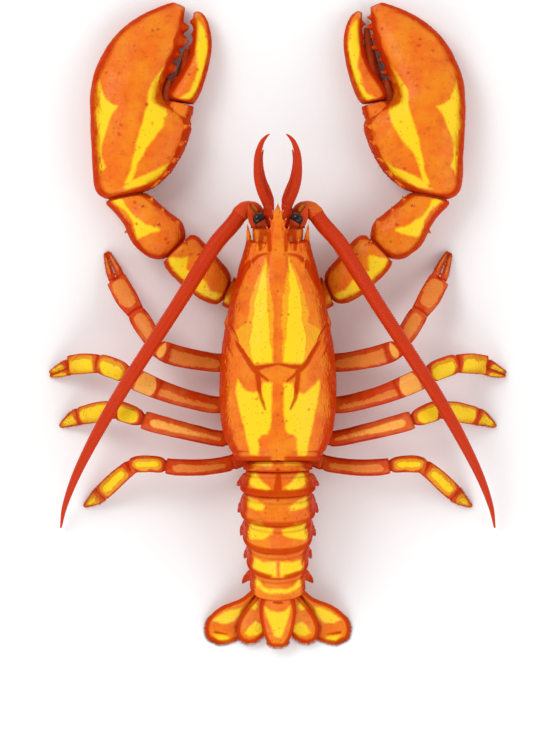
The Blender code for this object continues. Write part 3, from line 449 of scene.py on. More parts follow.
def points_of(piece):
    flat = np.zeros(len(piece.data.vertices) * 3, np.float32)
    piece.data.vertices.foreach_get("co", flat)
    return flat.reshape(-1, 3).astype(np.float64)


def move_points(piece, points):
    """Moves a piece's points, but none of them below the floor."""
    points[:, 2] = np.maximum(points[:, 2], 0.0)
    piece.data.vertices.foreach_set("co", points.astype(np.float32).ravel())
    piece.data.update()


def normals_of(piece):
    flat = np.zeros(len(piece.data.vertices) * 3, np.float32)
    piece.data.vertex_normals.foreach_get("vector", flat)
    return flat.reshape(-1, 3).astype(np.float64)


def surface_of(piece):
    return points_of(piece), normals_of(piece)


def bell(off, width):
    """1 where the distance is zero, and soft slopes to 0 on both sides."""
    return np.exp(-((off / width) ** 2))


def smooth_step(values, low, high):
    share = np.clip((values - low) / (high - low), 0.0, 1.0)
    return share * share * (3 - 2 * share)


def waves(points, pitch, seed):
    """Smooth seeded unevenness from -1 to 1 at each point, with swells about a pitch apart."""
    draw = np.random.default_rng(seed)
    total = np.zeros(len(points))
    for _ in range(9):
        way = draw.normal(size=3)
        way *= 2 * math.pi / pitch / np.linalg.norm(way) * draw.uniform(0.6, 1.5)
        total += np.sin(points @ way + draw.uniform(0, 2 * math.pi))
    return total / 4.5


def attribute(piece, name, values):
    """Stores a value from 0 to 1 at each of the piece's points, for its material."""
    layer = piece.data.attributes.get(name) or piece.data.attributes.new(name, "FLOAT", "POINT")
    layer.data.foreach_set("value", np.clip(values, 0, 1).astype(np.float32))


def raise_attribute(piece, name, values):
    """Raises a stored value to a new one where that is larger."""
    stored = np.zeros(len(piece.data.vertices), np.float32)
    piece.data.attributes[name].data.foreach_get("value", stored)
    attribute(piece, name, np.maximum(stored.astype(np.float64), values))


def face_outwards(piece, merge=None):
    """Turns all faces of a piece outwards, after points nearer than a distance are merged."""
    select_only(piece)
    bpy.ops.object.mode_set(mode="EDIT")
    bpy.ops.mesh.select_all(action="SELECT")
    if merge:
        bpy.ops.mesh.remove_doubles(threshold=merge)
    bpy.ops.mesh.normals_make_consistent(inside=False)
    bpy.ops.object.mode_set(mode="OBJECT")


def new_object(name, data):
    """A new object in the scene that shows a mesh, curve, light or camera."""
    made = bpy.data.objects.new(name, data)
    bpy.context.scene.collection.objects.link(made)
    return made


def refined_copy(node, name, cell, soften=5):
    """A fine, smooth copy of a CAD node's shape, with its sharp edges kept."""
    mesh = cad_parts[node].data.copy()
    mesh.materials.clear()
    piece = new_object(name, mesh)
    select_only(piece)
    bpy.ops.object.mode_set(mode="EDIT")
    bpy.ops.mesh.select_all(action="SELECT")
    bpy.ops.mesh.remove_doubles(threshold=0.002 * MM)
    bpy.ops.mesh.tris_convert_to_quads(face_threshold=math.radians(35), shape_threshold=math.radians(60))
    bpy.ops.mesh.select_all(action="DESELECT")
    bpy.ops.mesh.select_mode(type="EDGE")
    bpy.ops.mesh.edges_select_sharp(sharpness=math.radians(50))
    bpy.ops.transform.edge_crease(value=1.0)
    bpy.ops.object.mode_set(mode="OBJECT")
    apply_modifier(piece, "SUBSURF", levels=2, render_levels=2)
    apply_modifier(piece, "REMESH", mode="VOXEL", voxel_size=cell)
    apply_modifier(piece, "SMOOTH", factor=0.5, iterations=soften)
    return piece


def smooth_near(piece, mask, rounds):
    """Smooths the points of a piece that a mask marks."""
    group = piece.vertex_groups.new(name="near")
    group.add(np.flatnonzero(mask).tolist(), 1.0, "REPLACE")
    apply_modifier(piece, "SMOOTH", factor=0.5, iterations=rounds, vertex_group="near")
    piece.vertex_groups.clear()


def finish_piece(piece, slot, material, *nodes):
    """Gives a piece its finish, its body and the CAD nodes that it stands for."""
    select_only(piece)
    bpy.ops.object.shade_smooth()
    piece.data.materials.clear()
    piece.data.materials.append(material)
    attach(piece, "root")
    if nodes:
        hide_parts(*nodes)
    return piece


def neighbours_tree(node):
    """A search tree over the faces of all CAD nodes but one that lie near it."""
    low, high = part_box(node)
    reach = 6 * MM
    points, faces = [], []
    for other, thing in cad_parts.items():
        other_low, other_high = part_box(other)
        apart = any(other_low[i] > high[i] + reach or other_high[i] < low[i] - reach for i in range(3))
        if other == node or apart:
            continue
        start = len(points)
        points += [v.co.copy() for v in thing.data.vertices]
        faces += [tuple(start + i for i in polygon.vertices) for polygon in thing.data.polygons]
    return BVHTree.FromPolygons(points, faces) if faces else None


def seam_distance(piece, node):
    """How far each point of a piece is from the neighbours of the CAD node it copies."""
    reach = 5 * MM
    tree = neighbours_tree(node)
    far = np.full(len(piece.data.vertices), reach)
    if tree:
        for i, vertex in enumerate(piece.data.vertices):
            near = tree.find_nearest(vertex.co, reach)
            if near[3] is not None:
                far[i] = near[3]
    return far


def mirrored_plan(points, unevenness):
    """Each point's x, taken to the left side, and y in millimetres, a little unevenly."""
    plan = points[:, :2] / MM
    plan += np.stack([waves(points, 14 * MM, 31), waves(points, 14 * MM, 32)], axis=1) * unevenness
    plan[:, 0] = np.abs(plan[:, 0])
    return plan


def off_segment(places, start, end):
    """Distance of each place to a straight line between two points, and the share of the way along it."""
    start, step = np.array(start, float), np.array(end, float) - np.array(start, float)
    share = np.clip((places - start) @ step / (step @ step), 0, 1)
    return np.linalg.norm(places - start - share[:, None] * step, axis=1), share


def off_outline(places, outline):
    """Distance of each place to a closed outline, less than zero inside it."""
    nearest, inside = np.full(len(places), 9e9), np.zeros(len(places), bool)
    for start, end in zip(outline, outline[1:] + outline[:1]):
        nearest = np.minimum(nearest, off_segment(places, start, end)[0])
        crosses = (start[1] > places[:, 1]) != (end[1] > places[:, 1])
        if crosses.any():
            at = start[0] + (places[:, 1] - start[1]) * (end[0] - start[0]) / (end[1] - start[1])
            inside ^= crosses & (places[:, 0] < at)
    return np.where(inside, -nearest, nearest)


def marked(points, outlines):
    """How much of each point lies in these outlines, as seen from above, on both sides."""
    plan = mirrored_plan(points, 0.6)
    mask = np.zeros(len(points))
    for outline in outlines:
        low, high = np.min(outline, 0) - 2, np.max(outline, 0) + 2
        near = np.flatnonzero(((plan > low) & (plan < high)).all(1))
        mask[near] = np.maximum(mask[near], 1 - smooth_step(off_outline(plan[near], outline), -1.6, 1.4))
    return mask


def streaked(points, strokes):
    """How much of each point lies on these strokes, as seen from above, on both sides."""
    soft = 0.6
    plan = mirrored_plan(points, 0.35)
    mask = np.zeros(len(points))
    for stroke in strokes:
        for (*start, wide), (*end, wider) in zip(stroke, stroke[1:]):
            gap, share = off_segment(plan, start, end)
            mask = np.maximum(mask, 1 - smooth_step(gap - (wide + (wider - wide) * share), -soft, soft))
    return mask


def off_line(points, line):
    """Distance from each point to a line in millimetres, and the place along it."""
    nearest, place = np.full(len(points), 9e9), np.zeros(len(points))
    travelled = 0.0
    for start, end in zip(line, line[1:]):
        gap, share = off_segment(points, start, end)
        length = math.dist(start, end)
        closer = gap < nearest
        nearest[closer] = gap[closer]
        place[closer] = travelled + share[closer] * length
        travelled += length
    return nearest, place


def line_places(line):
    """How far along a line each of its own points lies."""
    steps = [math.dist(start, end) for start, end in zip(line, line[1:])]
    return [sum(steps[:i]) for i in range(len(line))]


def search_tree(places):
    """A search tree over places."""
    tree = KDTree(len(places))
    for i, place in enumerate(places):
        tree.insert(place, i)
    tree.balance()
    return tree


def bumps(points, count, radius, where, seed):
    """Low round tubercles at seeded places where a mask allows. Returns their share of height."""
    draw = np.random.default_rng(seed)
    allowed = np.flatnonzero(where > 0.5)
    if not len(allowed):
        return np.zeros(len(points))
    roots = points[draw.choice(allowed, min(count, len(allowed)), replace=False)]
    tree = search_tree(roots)
    sizes_of = draw.uniform(0.6, 1.2, len(roots))
    share = np.zeros(len(points))
    for i in allowed:
        _, which, gap = tree.find(points[i])
        share[i] = sizes_of[which] * max(0.0, 1 - (gap / (radius * sizes_of[which])) ** 2) ** 2
    return share


def ring_share(points, number):
    """How far back each point lies in a tail ring, from 0 at its front plane to 1 at its hind one."""
    distances = []
    for y, height, lean in TAIL_JOINTS[number - 1 : number + 1]:
        angle = math.radians(lean)
        back = np.array((0, math.cos(angle), -math.sin(angle)))
        distances.append((points / MM - (0, y, height)) @ back)
    return distances[0] / np.maximum(distances[0] - distances[1], 1e-3)


def relief(piece, node, granule=1.0, swell=1.0, seed=1):
    """Swells, grains and rounded shoulders on a plate, and the dark near its joints, partly painted shade
    between parts.
    """
    shoulder = 0.15
    far = seam_distance(piece, node)
    points, normals = surface_of(piece)
    near_joint = 1 - smooth_step(far, 0.3 * MM, 2.0 * MM)
    open_shell = smooth_step(far, 0.8 * MM, 3.0 * MM)
    size = sizes()
    height = waves(points, 15 * MM, seed) * size.swell * swell * open_shell
    grain = np.maximum(waves(points, 2.4 * MM, seed + 1), -0.2) * waves(points, 8 * MM, seed + 2)
    height += grain * size.granule * granule * open_shell
    height -= near_joint * shoulder * MM
    points += normals * height[:, None]
    move_points(piece, points)
    # Darker near the neighbouring parts: the joints' own dark, and painted shade where parts lie close
    attribute(piece, "seam", 1 - smooth_step(far, 0.5 * MM, 2.6 * MM))


def shade_markings(piece, yellow, rim=0.95, gold=(), rim_at=0.55):
    """Stores the yellow and golden patches on upper faces, and the dark rim, painted shade, on faces that
    turn sideways.
    """
    points, normals = surface_of(piece)
    soft = 0.11
    upper = smooth_step(normals[:, 2], 0.05, 0.45)
    attribute(piece, "patch", np.maximum(marked(points, yellow), GOLDEN * marked(points, gold)) * upper)
    # Painted shade on the faces that turn sideways
    attribute(piece, "rim", rim * (1 - smooth_step(np.abs(normals[:, 2]), rim_at - soft, rim_at + soft)))


def press(piece, depth, seam=None):
    """Moves each point in along its normal by a depth in millimetres, and darkens it by a share."""
    points, normals = surface_of(piece)
    points -= normals * (depth * MM)[:, None]
    move_points(piece, points)
    if seam is not None:
        raise_attribute(piece, "seam", seam)


def group_tree(name, inputs, outputs):
    """An empty shader node group with these sockets, and its two end nodes."""
    tree = bpy.data.node_groups.new(name, "ShaderNodeTree")
    for socket, kind, value in inputs:
        made = tree.interface.new_socket(name=socket, in_out="INPUT", socket_type=kind)
        if value:
            made.default_value = value
    for socket, kind in outputs:
        tree.interface.new_socket(name=socket, in_out="OUTPUT", socket_type=kind)
    return tree, tree.nodes.new("NodeGroupInput"), tree.nodes.new("NodeGroupOutput")


def add_node(tree, kind, **settings):
    made = tree.nodes.new(kind)
    for name, value in settings.items():
        setattr(made, name, value)
    return made


def feed(tree, value, socket):
    """Gives a socket a plain value or the result of another socket."""
    if isinstance(value, bpy.types.NodeSocket):
        tree.links.new(value, socket)
    else:
        socket.default_value = value


def mix_colours(tree, share, first, second):
    """A node that mixes two colours by a share. Each may be a socket or a plain value."""
    made = add_node(tree, "ShaderNodeMix", data_type="RGBA")
    feed(tree, share, made.inputs["Factor"])
    feed(tree, first, made.inputs[MIX_FIRST])
    feed(tree, second, made.inputs[MIX_SECOND])
    return made.outputs[MIX_RESULT]


def arithmetic(tree, operation, first, second):
    """A Math node on two values. Each may be a socket or a plain number."""
    made = add_node(tree, "ShaderNodeMath", operation=operation)
    for socket, value in zip(made.inputs, (first, second)):
        feed(tree, value, socket)
    return made.outputs[0]


def product(tree, first, second):
    return arithmetic(tree, "MULTIPLY", first, second)


def noise(tree, vector, scale, detail=2.0, roughness=0.5):
    made = add_node(tree, "ShaderNodeTexNoise")
    made.inputs["Scale"].default_value = scale
    made.inputs["Detail"].default_value = detail
    made.inputs["Roughness"].default_value = roughness
    tree.links.new(vector, made.inputs["Vector"])
    return made.outputs["Fac"]


def spread(tree, value, low, high, out_low=0.0, out_high=1.0):
    """Maps a value's range smoothly onto another."""
    made = add_node(tree, "ShaderNodeMapRange", interpolation_type="SMOOTHSTEP")
    tree.links.new(value, made.inputs["Value"])
    for i, number in enumerate((low, high, out_low, out_high)):
        made.inputs[i + 1].default_value = number
    return made.outputs["Result"]


def dots(tree, vector, scale, low, high):
    """Round dots of a cell pattern, 1 at their middles."""
    cells = add_node(tree, "ShaderNodeTexVoronoi", feature="F1")
    tree.links.new(vector, cells.inputs["Vector"])
    tree.links.new(scale, cells.inputs["Scale"])
    return spread(tree, cells.outputs["Distance"], low, high, 1.0, 0.0)


def shell_group():
    """Shell colouring: mottle, specks and pits over a base colour, with patches, seams and rims; the rims
    and part of the seams are painted shade.
    """
    found = bpy.data.node_groups.get("Shell colouring")
    if found:
        return found
    number_kind, colour_kind = "NodeSocketFloat", "NodeSocketColor"
    tree, start, end = group_tree(
        "Shell colouring",
        (
            ("Vector", "NodeSocketVector", None),
            ("Base", colour_kind, (0.8, 0.2, 0.02, 1)),
            ("Light", colour_kind, (0.9, 0.6, 0.05, 1)),
            ("Dark", colour_kind, (0.4, 0.02, 0.0, 1)),
            ("Pale", colour_kind, (0.9, 0.75, 0.5, 1)),
            ("Patch", number_kind, None),
            ("Tip", number_kind, None),
            ("Seam", number_kind, None),
            ("Rim", number_kind, None),
            ("Speck amount", number_kind, 0.5),
            ("Pit scale", number_kind, 420.0),
        ),
        (
            ("Colour", colour_kind),
            ("Roughness", number_kind),
            ("Height", number_kind),
            ("Gloss", number_kind),
        ),
    )
    into, vector = start.outputs, start.outputs["Vector"]
    # Broad light swells and smaller dark clouds over the base colour
    broad = spread(tree, noise(tree, vector, 60.0, 3.0, 0.6), 0.40, 0.66)
    colour = mix_colours(tree, product(tree, broad, 0.16), into["Base"], into["Light"])
    cloud = spread(tree, noise(tree, vector, 130.0, 5.0, 0.68), 0.48, 0.74)
    colour = mix_colours(tree, product(tree, cloud, 0.34), colour, into["Dark"])
    # Patches with frayed edges, in a golden and a yellow step
    fray = arithmetic(tree, "SUBTRACT", noise(tree, vector, 420.0, 4.0, 0.7), 0.5)
    torn = arithmetic(tree, "ADD", into["Patch"], product(tree, fray, 0.8))
    colour = mix_colours(tree, spread(tree, torn, 0.16, 0.40, 0.0, 0.42), colour, into["Light"])
    colour = mix_colours(tree, spread(tree, torn, 0.56, 0.80, 0.0, 0.94), colour, into["Light"])
    # Dark rims: painted shade on faces that turn sideways, and the legs' dark tips. Dark seams: dark joints
    # and lines, and painted shade in grooves, between parts and over the claw's teeth
    rim = product(tree, into["Rim"], spread(tree, noise(tree, vector, 260.0, 3.0), 0.2, 0.7, 0.8, 1.0))
    colour = mix_colours(tree, rim, colour, into["Dark"])
    seam = product(tree, into["Seam"], 0.85)
    colour = mix_colours(tree, seam, colour, into["Dark"])
    # Scattered specks, and pits all over
    spots = dots(tree, vector, product(tree, into["Pit scale"], 0.55), 0.10, 0.26)
    spots = product(tree, spots, spread(tree, noise(tree, vector, 90.0), 0.42, 0.62))
    colour = mix_colours(tree, product(tree, spots, into["Speck amount"]), colour, into["Dark"])
    pits = dots(tree, vector, into["Pit scale"], 0.08, 0.24)
    colour = mix_colours(tree, product(tree, pits, 0.35), colour, into["Dark"])
    colour = mix_colours(tree, into["Tip"], colour, into["Pale"])
    grain = noise(tree, vector, 1500.0, 3.0, 0.6)
    height = arithmetic(tree, "SUBTRACT", product(tree, grain, 0.35), pits)
    rough = spread(tree, noise(tree, vector, 330.0, 3.0), 0.3, 0.7, 0.24, 0.42)
    rough = arithmetic(tree, "ADD", rough, product(tree, pits, 0.2))
    gloss = spread(tree, arithmetic(tree, "MAXIMUM", rim, seam), 0.0, 0.8, 1.0, 0.1)
    for name, result in (("Colour", colour), ("Roughness", rough), ("Height", height), ("Gloss", gloss)):
        tree.links.new(result, end.inputs[name])
    return tree


def new_material(name):
    """A new material, with its nodes, its shader and the socket of places on the object."""
    made = bpy.data.materials.new(name)
    made.use_nodes = True
    tree = made.node_tree
    place = add_node(tree, "ShaderNodeTexCoord")
    return made, tree, tree.nodes["Principled BSDF"].inputs, place.outputs["Object"]


def shell_material(name, base, light=None, dark=None, speck=0.5, pit_scale=420.0, coat=0.04, bump=0.5):
    """A glossy shell finish. The colours default to the settings' patches and edges."""
    found = bpy.data.materials.get(name)
    if found:
        return found
    specular, pit_depth = 0.12, 0.12 * MM
    made, tree, shader, place = new_material(name)
    shell = add_node(tree, "ShaderNodeGroup")
    shell.node_tree = shell_group()
    for socket, value in (
        ("Vector", place),
        ("Base", (*base, 1)),
        ("Light", (*(light or colours().light), 1)),
        ("Dark", (*(dark or colours().dark), 1)),
        ("Speck amount", speck),
        ("Pit scale", pit_scale),
    ):
        feed(tree, value, shell.inputs[socket])
    for socket in ("Patch", "Seam", "Rim", "Tip"):
        read = add_node(tree, "ShaderNodeAttribute", attribute_name=socket.lower())
        tree.links.new(read.outputs["Fac"], shell.inputs[socket])
    raised = add_node(tree, "ShaderNodeBump")
    feed(tree, bump, raised.inputs["Strength"])
    feed(tree, pit_depth, raised.inputs["Distance"])
    feed(tree, shell.outputs["Height"], raised.inputs["Height"])
    gloss = shell.outputs["Gloss"]
    for socket, value in (
        ("Normal", raised.outputs["Normal"]),
        ("Base Color", shell.outputs["Colour"]),
        ("Roughness", shell.outputs["Roughness"]),
        ("Coat Weight", product(tree, gloss, coat)),
        ("Specular IOR Level", product(tree, gloss, specular)),
        ("Coat Roughness", 0.12),
    ):
        feed(tree, value, shader[socket])
    return made


def plain_material(name, colour, roughness, specular=0.15, mottle=0.25, scale=300.0):
    """A soft, faintly mottled finish for membranes, bristles, eyes and the floor."""
    found = bpy.data.materials.get(name)
    if found:
        return found
    made, tree, shader, place = new_material(name)
    dark = (*(channel * (1 - mottle) for channel in colour), 1)
    cloud = spread(tree, noise(tree, place, scale, 4.0, 0.6), 0.35, 0.65)
    feed(tree, mix_colours(tree, cloud, (*colour, 1), dark), shader["Base Color"])
    feed(tree, spread(tree, cloud, 0.0, 1.0, roughness, roughness * 1.3), shader["Roughness"])
    feed(tree, specular, shader["Specular IOR Level"])
    return made


def carapace_finish():
    return shell_material("carapace shell", colours().shell, pit_scale=380.0)


def claw_finish():
    return shell_material("claw shell", colours().shell, speck=0.65, pit_scale=300.0)


def leg_finish(outer=False):
    """The finish of a leg: red with a pale orange line of painted highlight along it, which is yellow beyond
    the knee.
    """
    light = colours().light if outer else colours().leg_line
    name = "outer leg shell" if outer else "leg shell"
    return shell_material(name, colours().leg, light, speck=0.35, pit_scale=520.0)


def feeler_finish():
    base, light = colours().feeler, colours().feeler_light
    return shell_material("feeler shell", base, light, speck=0.2, pit_scale=800.0, bump=0.2)


def under_finish():
    return shell_material("underside shell", colours().under, dark=colours().leg, speck=0.3, coat=0.15)


def membrane_finish():
    return plain_material("joint membrane", colours().skin, 0.45)


def bristle_finish():
    return plain_material("bristles", colours().bristle, 0.55, mottle=0.5, scale=500.0)


def joined_copies(name, unit_points, unit_faces, places, map_places=None):
    """One mesh of many copies of a small shape, each placed by a matrix. Bristles get an OFBake map."""
    count, size = len(places), len(unit_points)
    homogeneous = np.hstack([unit_points, np.ones((size, 1))])
    points = np.einsum("nij,kj->nki", places, homogeneous)[:, :, :3].reshape(-1, 3)
    faces = [[start * size + i for i in face] for start in range(count) for face in unit_faces]
    mesh = bpy.data.meshes.new(name)
    mesh.from_pydata(points.tolist(), [], faces)
    if map_places is not None:
        layer = mesh.uv_layers.new(name="OFBake")
        corner = np.zeros(len(mesh.loops), np.int32)
        mesh.loops.foreach_get("vertex_index", corner)
        owner, local = corner // size, corner % size
        offset = BAKE_PATCH * np.stack([(local % 3) / 2, (local // 3) / 4], axis=1)
        layer.data.foreach_set("uv", (map_places[owner] + offset).astype(np.float32).ravel())
    mesh.validate()
    mesh.update()
    return new_object(name, mesh)


def stand_at(root, way, lean_to, radius, length):
    """The matrix that stands a unit cone on a root point along a way, bent towards another."""
    up = np.array(way, float)
    up /= np.linalg.norm(up)
    side = np.array(lean_to, float) - np.dot(lean_to, up) * up
    if np.linalg.norm(side) < 1e-6:
        side = np.cross(up, (0.3, 0.9, 0.2))
    side /= np.linalg.norm(side)
    made = np.eye(4)
    made[:3, 0] = side * radius
    made[:3, 1] = np.cross(up, side) * radius
    made[:3, 2] = up * length
    made[:3, 3] = root
    return made


def dress_node(node, slot, material, yellow=(), cell=None, rim=0.95, rim_at=0.55, **how):
    """The usual dressing of a plate or limb: a fine copy with relief, markings and finish."""
    piece = refined_copy(node, node + "_shell", cell or sizes().limb_cell, how.pop("soften", 5))
    relief(piece, node, **how)
    shade_markings(piece, yellow, rim, rim_at=rim_at)
    return finish_piece(piece, slot, material, node)


def modelled_unit(name, profile, sides, lean=0.0):
    """A small closed shape of height 1, drawn up from a circle through radius and height pairs."""
    bpy.ops.object.select_all(action="DESELECT")
    bpy.ops.mesh.primitive_circle_add(vertices=sides, radius=profile[0][0], fill_type="NGON")
    unit = bpy.context.active_object
    unit.name = name
    bpy.ops.object.mode_set(mode="EDIT")
    for (radius, height), (wider, lower) in zip(profile[1:], profile):
        rise = height - lower
        step = (lean * rise * (height + lower), 0, rise)
        bpy.ops.mesh.extrude_region_move(TRANSFORM_OT_translate={"value": step})
        if radius:
            bpy.ops.transform.resize(value=(radius / wider, radius / wider, 1))
        else:
            bpy.ops.mesh.merge(type="CENTER")
    face_outwards(unit)
    points = points_of(unit)
    faces = [tuple(polygon.vertices) for polygon in unit.data.polygons]
    bpy.data.objects.remove(unit)
    return points, faces


def spine_tips(node):
    """Tips of a node's coarse spines and the way each points. Each ends in a small even triangle."""
    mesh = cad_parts[node].data
    tips = []
    for polygon in mesh.polygons:
        corners = [mesh.vertices[i].co for i in polygon.vertices]
        sides = [(a - b).length / MM for a, b in zip(corners, corners[1:] + corners[:1])]
        if max(sides) < SPINE_END + 0.01 and min(sides) > SPINE_END - 0.01:
            tips.append((sum(corners, Vector()) / len(corners), polygon.normal.copy()))
    return tips


def spines_on(name, node, slope, length, slot="shell_orange", more=()):
    """Sharp spines over the coarse ones of a node, as one piece."""
    places = []
    for tip, way in (*spine_tips(node), *more):
        root = tip - way * length * MM
        places.append(stand_at(root, way, (0, 0, 1), slope * length * MM, length * 1.06 * MM))
    unit = modelled_unit("spine", SPINE_PROFILE, 9, 0.12)
    piece = joined_copies(name, *unit, np.array(places))
    height = np.tile(unit[0][:, 2], len(places))
    attribute(piece, "seam", smooth_step(height, 0.45, 0.8) * (1 - smooth_step(height, 0.9, 1.0)))
    attribute(piece, "tip", smooth_step(height, 0.93, 1.0) * 0.6)
    return finish_piece(piece, slot, claw_finish())


def cap_ring(first, second):
    """The corners round the smaller face where two nodes meet, in order, and the way across."""
    found = []
    for node, other in ((first, second), (second, first)):
        mesh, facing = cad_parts[node].data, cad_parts[other].data
        corners = [vertex.co for vertex in facing.vertices]
        tree = BVHTree.FromPolygons(corners, [tuple(polygon.vertices) for polygon in facing.polygons])
        touching = [vertex.co for vertex in mesh.vertices if tree.find_nearest(vertex.co, 0.8 * MM)[0]]
        near = {tuple(round(c / MM, 2) for c in place) for place in touching}
        found.append(np.array(sorted(near)) * MM)
    corners = max(found, key=len)
    middle = corners.mean(0)
    first_way, second_way, across = np.linalg.svd(corners - middle)[2]
    angles = np.arctan2((corners - middle) @ second_way, (corners - middle) @ first_way)
    return corners[np.argsort(angles)], across


def membrane(corners, across):
    """Points and faces of a soft plug that fills the joint behind a ring of corners."""
    middle = corners.mean(0)
    end, end_width = SKIN_HALF + SKIN_END, SKIN_WIDTH * SKIN_END_WIDTH
    rings = ((-end, end_width), (-SKIN_HALF, SKIN_WIDTH), (SKIN_HALF, SKIN_WIDTH), (end, end_width))
    points = [middle + (corners - middle) * share + across * MM * step for step, share in rings]
    count = len(corners)
    faces = []
    for low in range(0, (len(rings) - 1) * count, count):
        for i in range(count):
            following = (i + 1) % count
            faces.append((low + i, low + following, low + count + following, low + count + i))
    faces.append(tuple(reversed(range(count))))
    faces.append(tuple(range(3 * count, 4 * count)))
    return np.concatenate(points), faces


def edge_distance(points, normals):
    """How far each point of a thin plate lies from its rim."""
    tree = search_tree(points[np.abs(normals[:, 2]) < 0.45])
    return np.array([tree.find(place)[2] for place in points])


def fringe(name, piece, keep, count, length, ahead, tile, seed, radius=0.10):
    """A fringe of bristles from the points of a piece that a mask keeps, swept towards a way ahead."""
    draw = np.random.default_rng(sizes().seed * 100 + seed)
    points, normals = surface_of(piece)
    allowed = np.flatnonzero(keep)
    chosen = draw.choice(allowed, min(count, len(allowed)), replace=False)
    roots = points[chosen] - normals[chosen] * 0.25 * MM
    ways = normals[chosen] * 0.7 + np.array(ahead) + draw.normal(0, 0.10, (len(chosen), 3))
    low, high = points.min(0), points.max(0)
    local = (roots - low)[:, :2] / (high - low)[:2]
    corner = np.array((tile % BAKE_TILES, tile // BAKE_TILES))
    map_places = (local * 0.9 + 0.05 + corner) / BAKE_TILES
    lengths = draw.uniform(0.75, 1.1, len(chosen)) * length
    places = [stand_at(*row, (0, 0, -1.0), radius * MM, long) for *row, long in zip(roots, ways, lengths)]
    unit = modelled_unit("bristle", BRISTLE_PROFILE, 3, 0.3)
    bristles = joined_copies(name, *unit, np.array(places), map_places)
    move_points(bristles, points_of(bristles))
    finish_piece(bristles, "leg_red", bristle_finish())


class LOBSTER_OT_carapace(bpy.types.Operator):
    """Dresses the shield over head and chest"""

    bl_idname = "lobster.carapace"
    bl_label = "Carapace"

    def execute(self, context):
        piece = refined_copy("carapace", "carapace_shell", sizes().cell * CARAPACE_COARSER, 6)
        self.fill_groove(piece)
        relief(piece, "carapace", granule=1.6, swell=0.8, seed=11)
        points, normals = surface_of(piece)
        x, y, z = (points / MM).T
        across = np.abs(x)
        mirrored = np.stack([across, y, z], axis=1)
        upper = smooth_step(normals[:, 2], -0.2, 0.25)
        behind_beak = smooth_step(y, *BEAK_BACK)
        middle_line = 0.25 * bell(x, 0.8) * behind_beak
        drawn = streaked(points, CARAPACE_GROOVES)
        hind = 0.7 * bell(y - HIND_GROOVE, 0.8)
        beak_sides = 0.7 * bell(across - (3.4 + 0.12 * (y + 56)), 0.9)
        beak_sides *= smooth_step(y, *BEAK_FRONT) * (1 - behind_beak)
        nearest = [np.argmin(np.linalg.norm(mirrored - place, axis=1)) for place in FLANK_GROOVE]
        flank_line = list(mirrored[nearest])
        flank_groove = 1 - smooth_step(off_line(mirrored, flank_line)[0], 0.5, 1.9)
        grooves = middle_line + hind + beak_sides
        rim = 0.5 * smooth_step(y, *HIND_RIM)
        flank = smooth_step(across, 16, 28) * smooth_step(z, 24, 34)
        grains = bumps(points, 2600, 0.85 * MM, (flank > 0.3) * (y < 72), 17)
        lumps = bumps(points, 420, 1.1 * MM, (y < 20) * (across < 20) * (normals[:, 2] > 0.3), 18)
        cut = 0.9 * np.maximum(drawn * upper, flank_groove)
        press(piece, (grooves - rim) * upper + cut - 0.16 * grains * flank - 0.14 * lumps)
        shade_markings(piece, CARAPACE_YELLOW, 0.95, CARAPACE_GOLD, 0.56)
        # Painted shade on the faces of the sockets that turn forwards
        sockets = (1 - smooth_step(y, -45, -42)) * smooth_step(-normals[:, 1], 0.35, 0.7)
        hind_edge = smooth_step(y, 77.6, 78.8) * smooth_step(across, 2.6, 5.0)
        lines = streaked(points, CARAPACE_DARK)
        # Dark lines and edges; the dark in the cut grooves and in the flank groove is painted shade
        dark = np.maximum.reduce([drawn, hind_edge, 0.6 * beak_sides, lines, sockets])
        dark = np.maximum(dark * upper, 0.2 * flank_groove)
        raise_attribute(piece, "seam", 0.95 * dark)
        finish_piece(piece, "shell_orange", carapace_finish(), "carapace")
        beak_tip, ahead = (Vector(part) for part in BEAK_TIP)
        more = [(beak_tip * MM, ahead.normalized())]
        spines_on("carapace_spines", "carapace", slope=0.2, length=8.0, more=more)
        return {"FINISHED"}

    def fill_groove(self, piece):
        """Fills the solid carapace's own straight groove, as the curved one takes its place."""
        x, y, z = (points_of(piece) / MM).T
        y = y + SHIFT
        half_width, top, bottom = (np.interp(y, *np.array(CARAPACE_FORM).T[[0, i]]) for i in (1, 2, 3))
        widest = bottom + FORM_WIDEST * (top - bottom)
        outward = (np.abs(x) / half_width) ** FORM_POWER
        upward = np.clip((z - widest) / (top - widest), 0, None) ** FORM_POWER
        groove_at, sweep, half, depth = SOLID_GROOVE
        off = np.abs(y - groove_at + sweep * (1 - upward / np.maximum(np.hypot(outward, upward), 1e-6)))
        press(piece, -depth * np.clip(1 - off / half, 0, 1) * smooth_step(upward, 0.0, 0.06))
        smooth_near(piece, (off < half + 3.0) * (upward > 0), rounds=30)


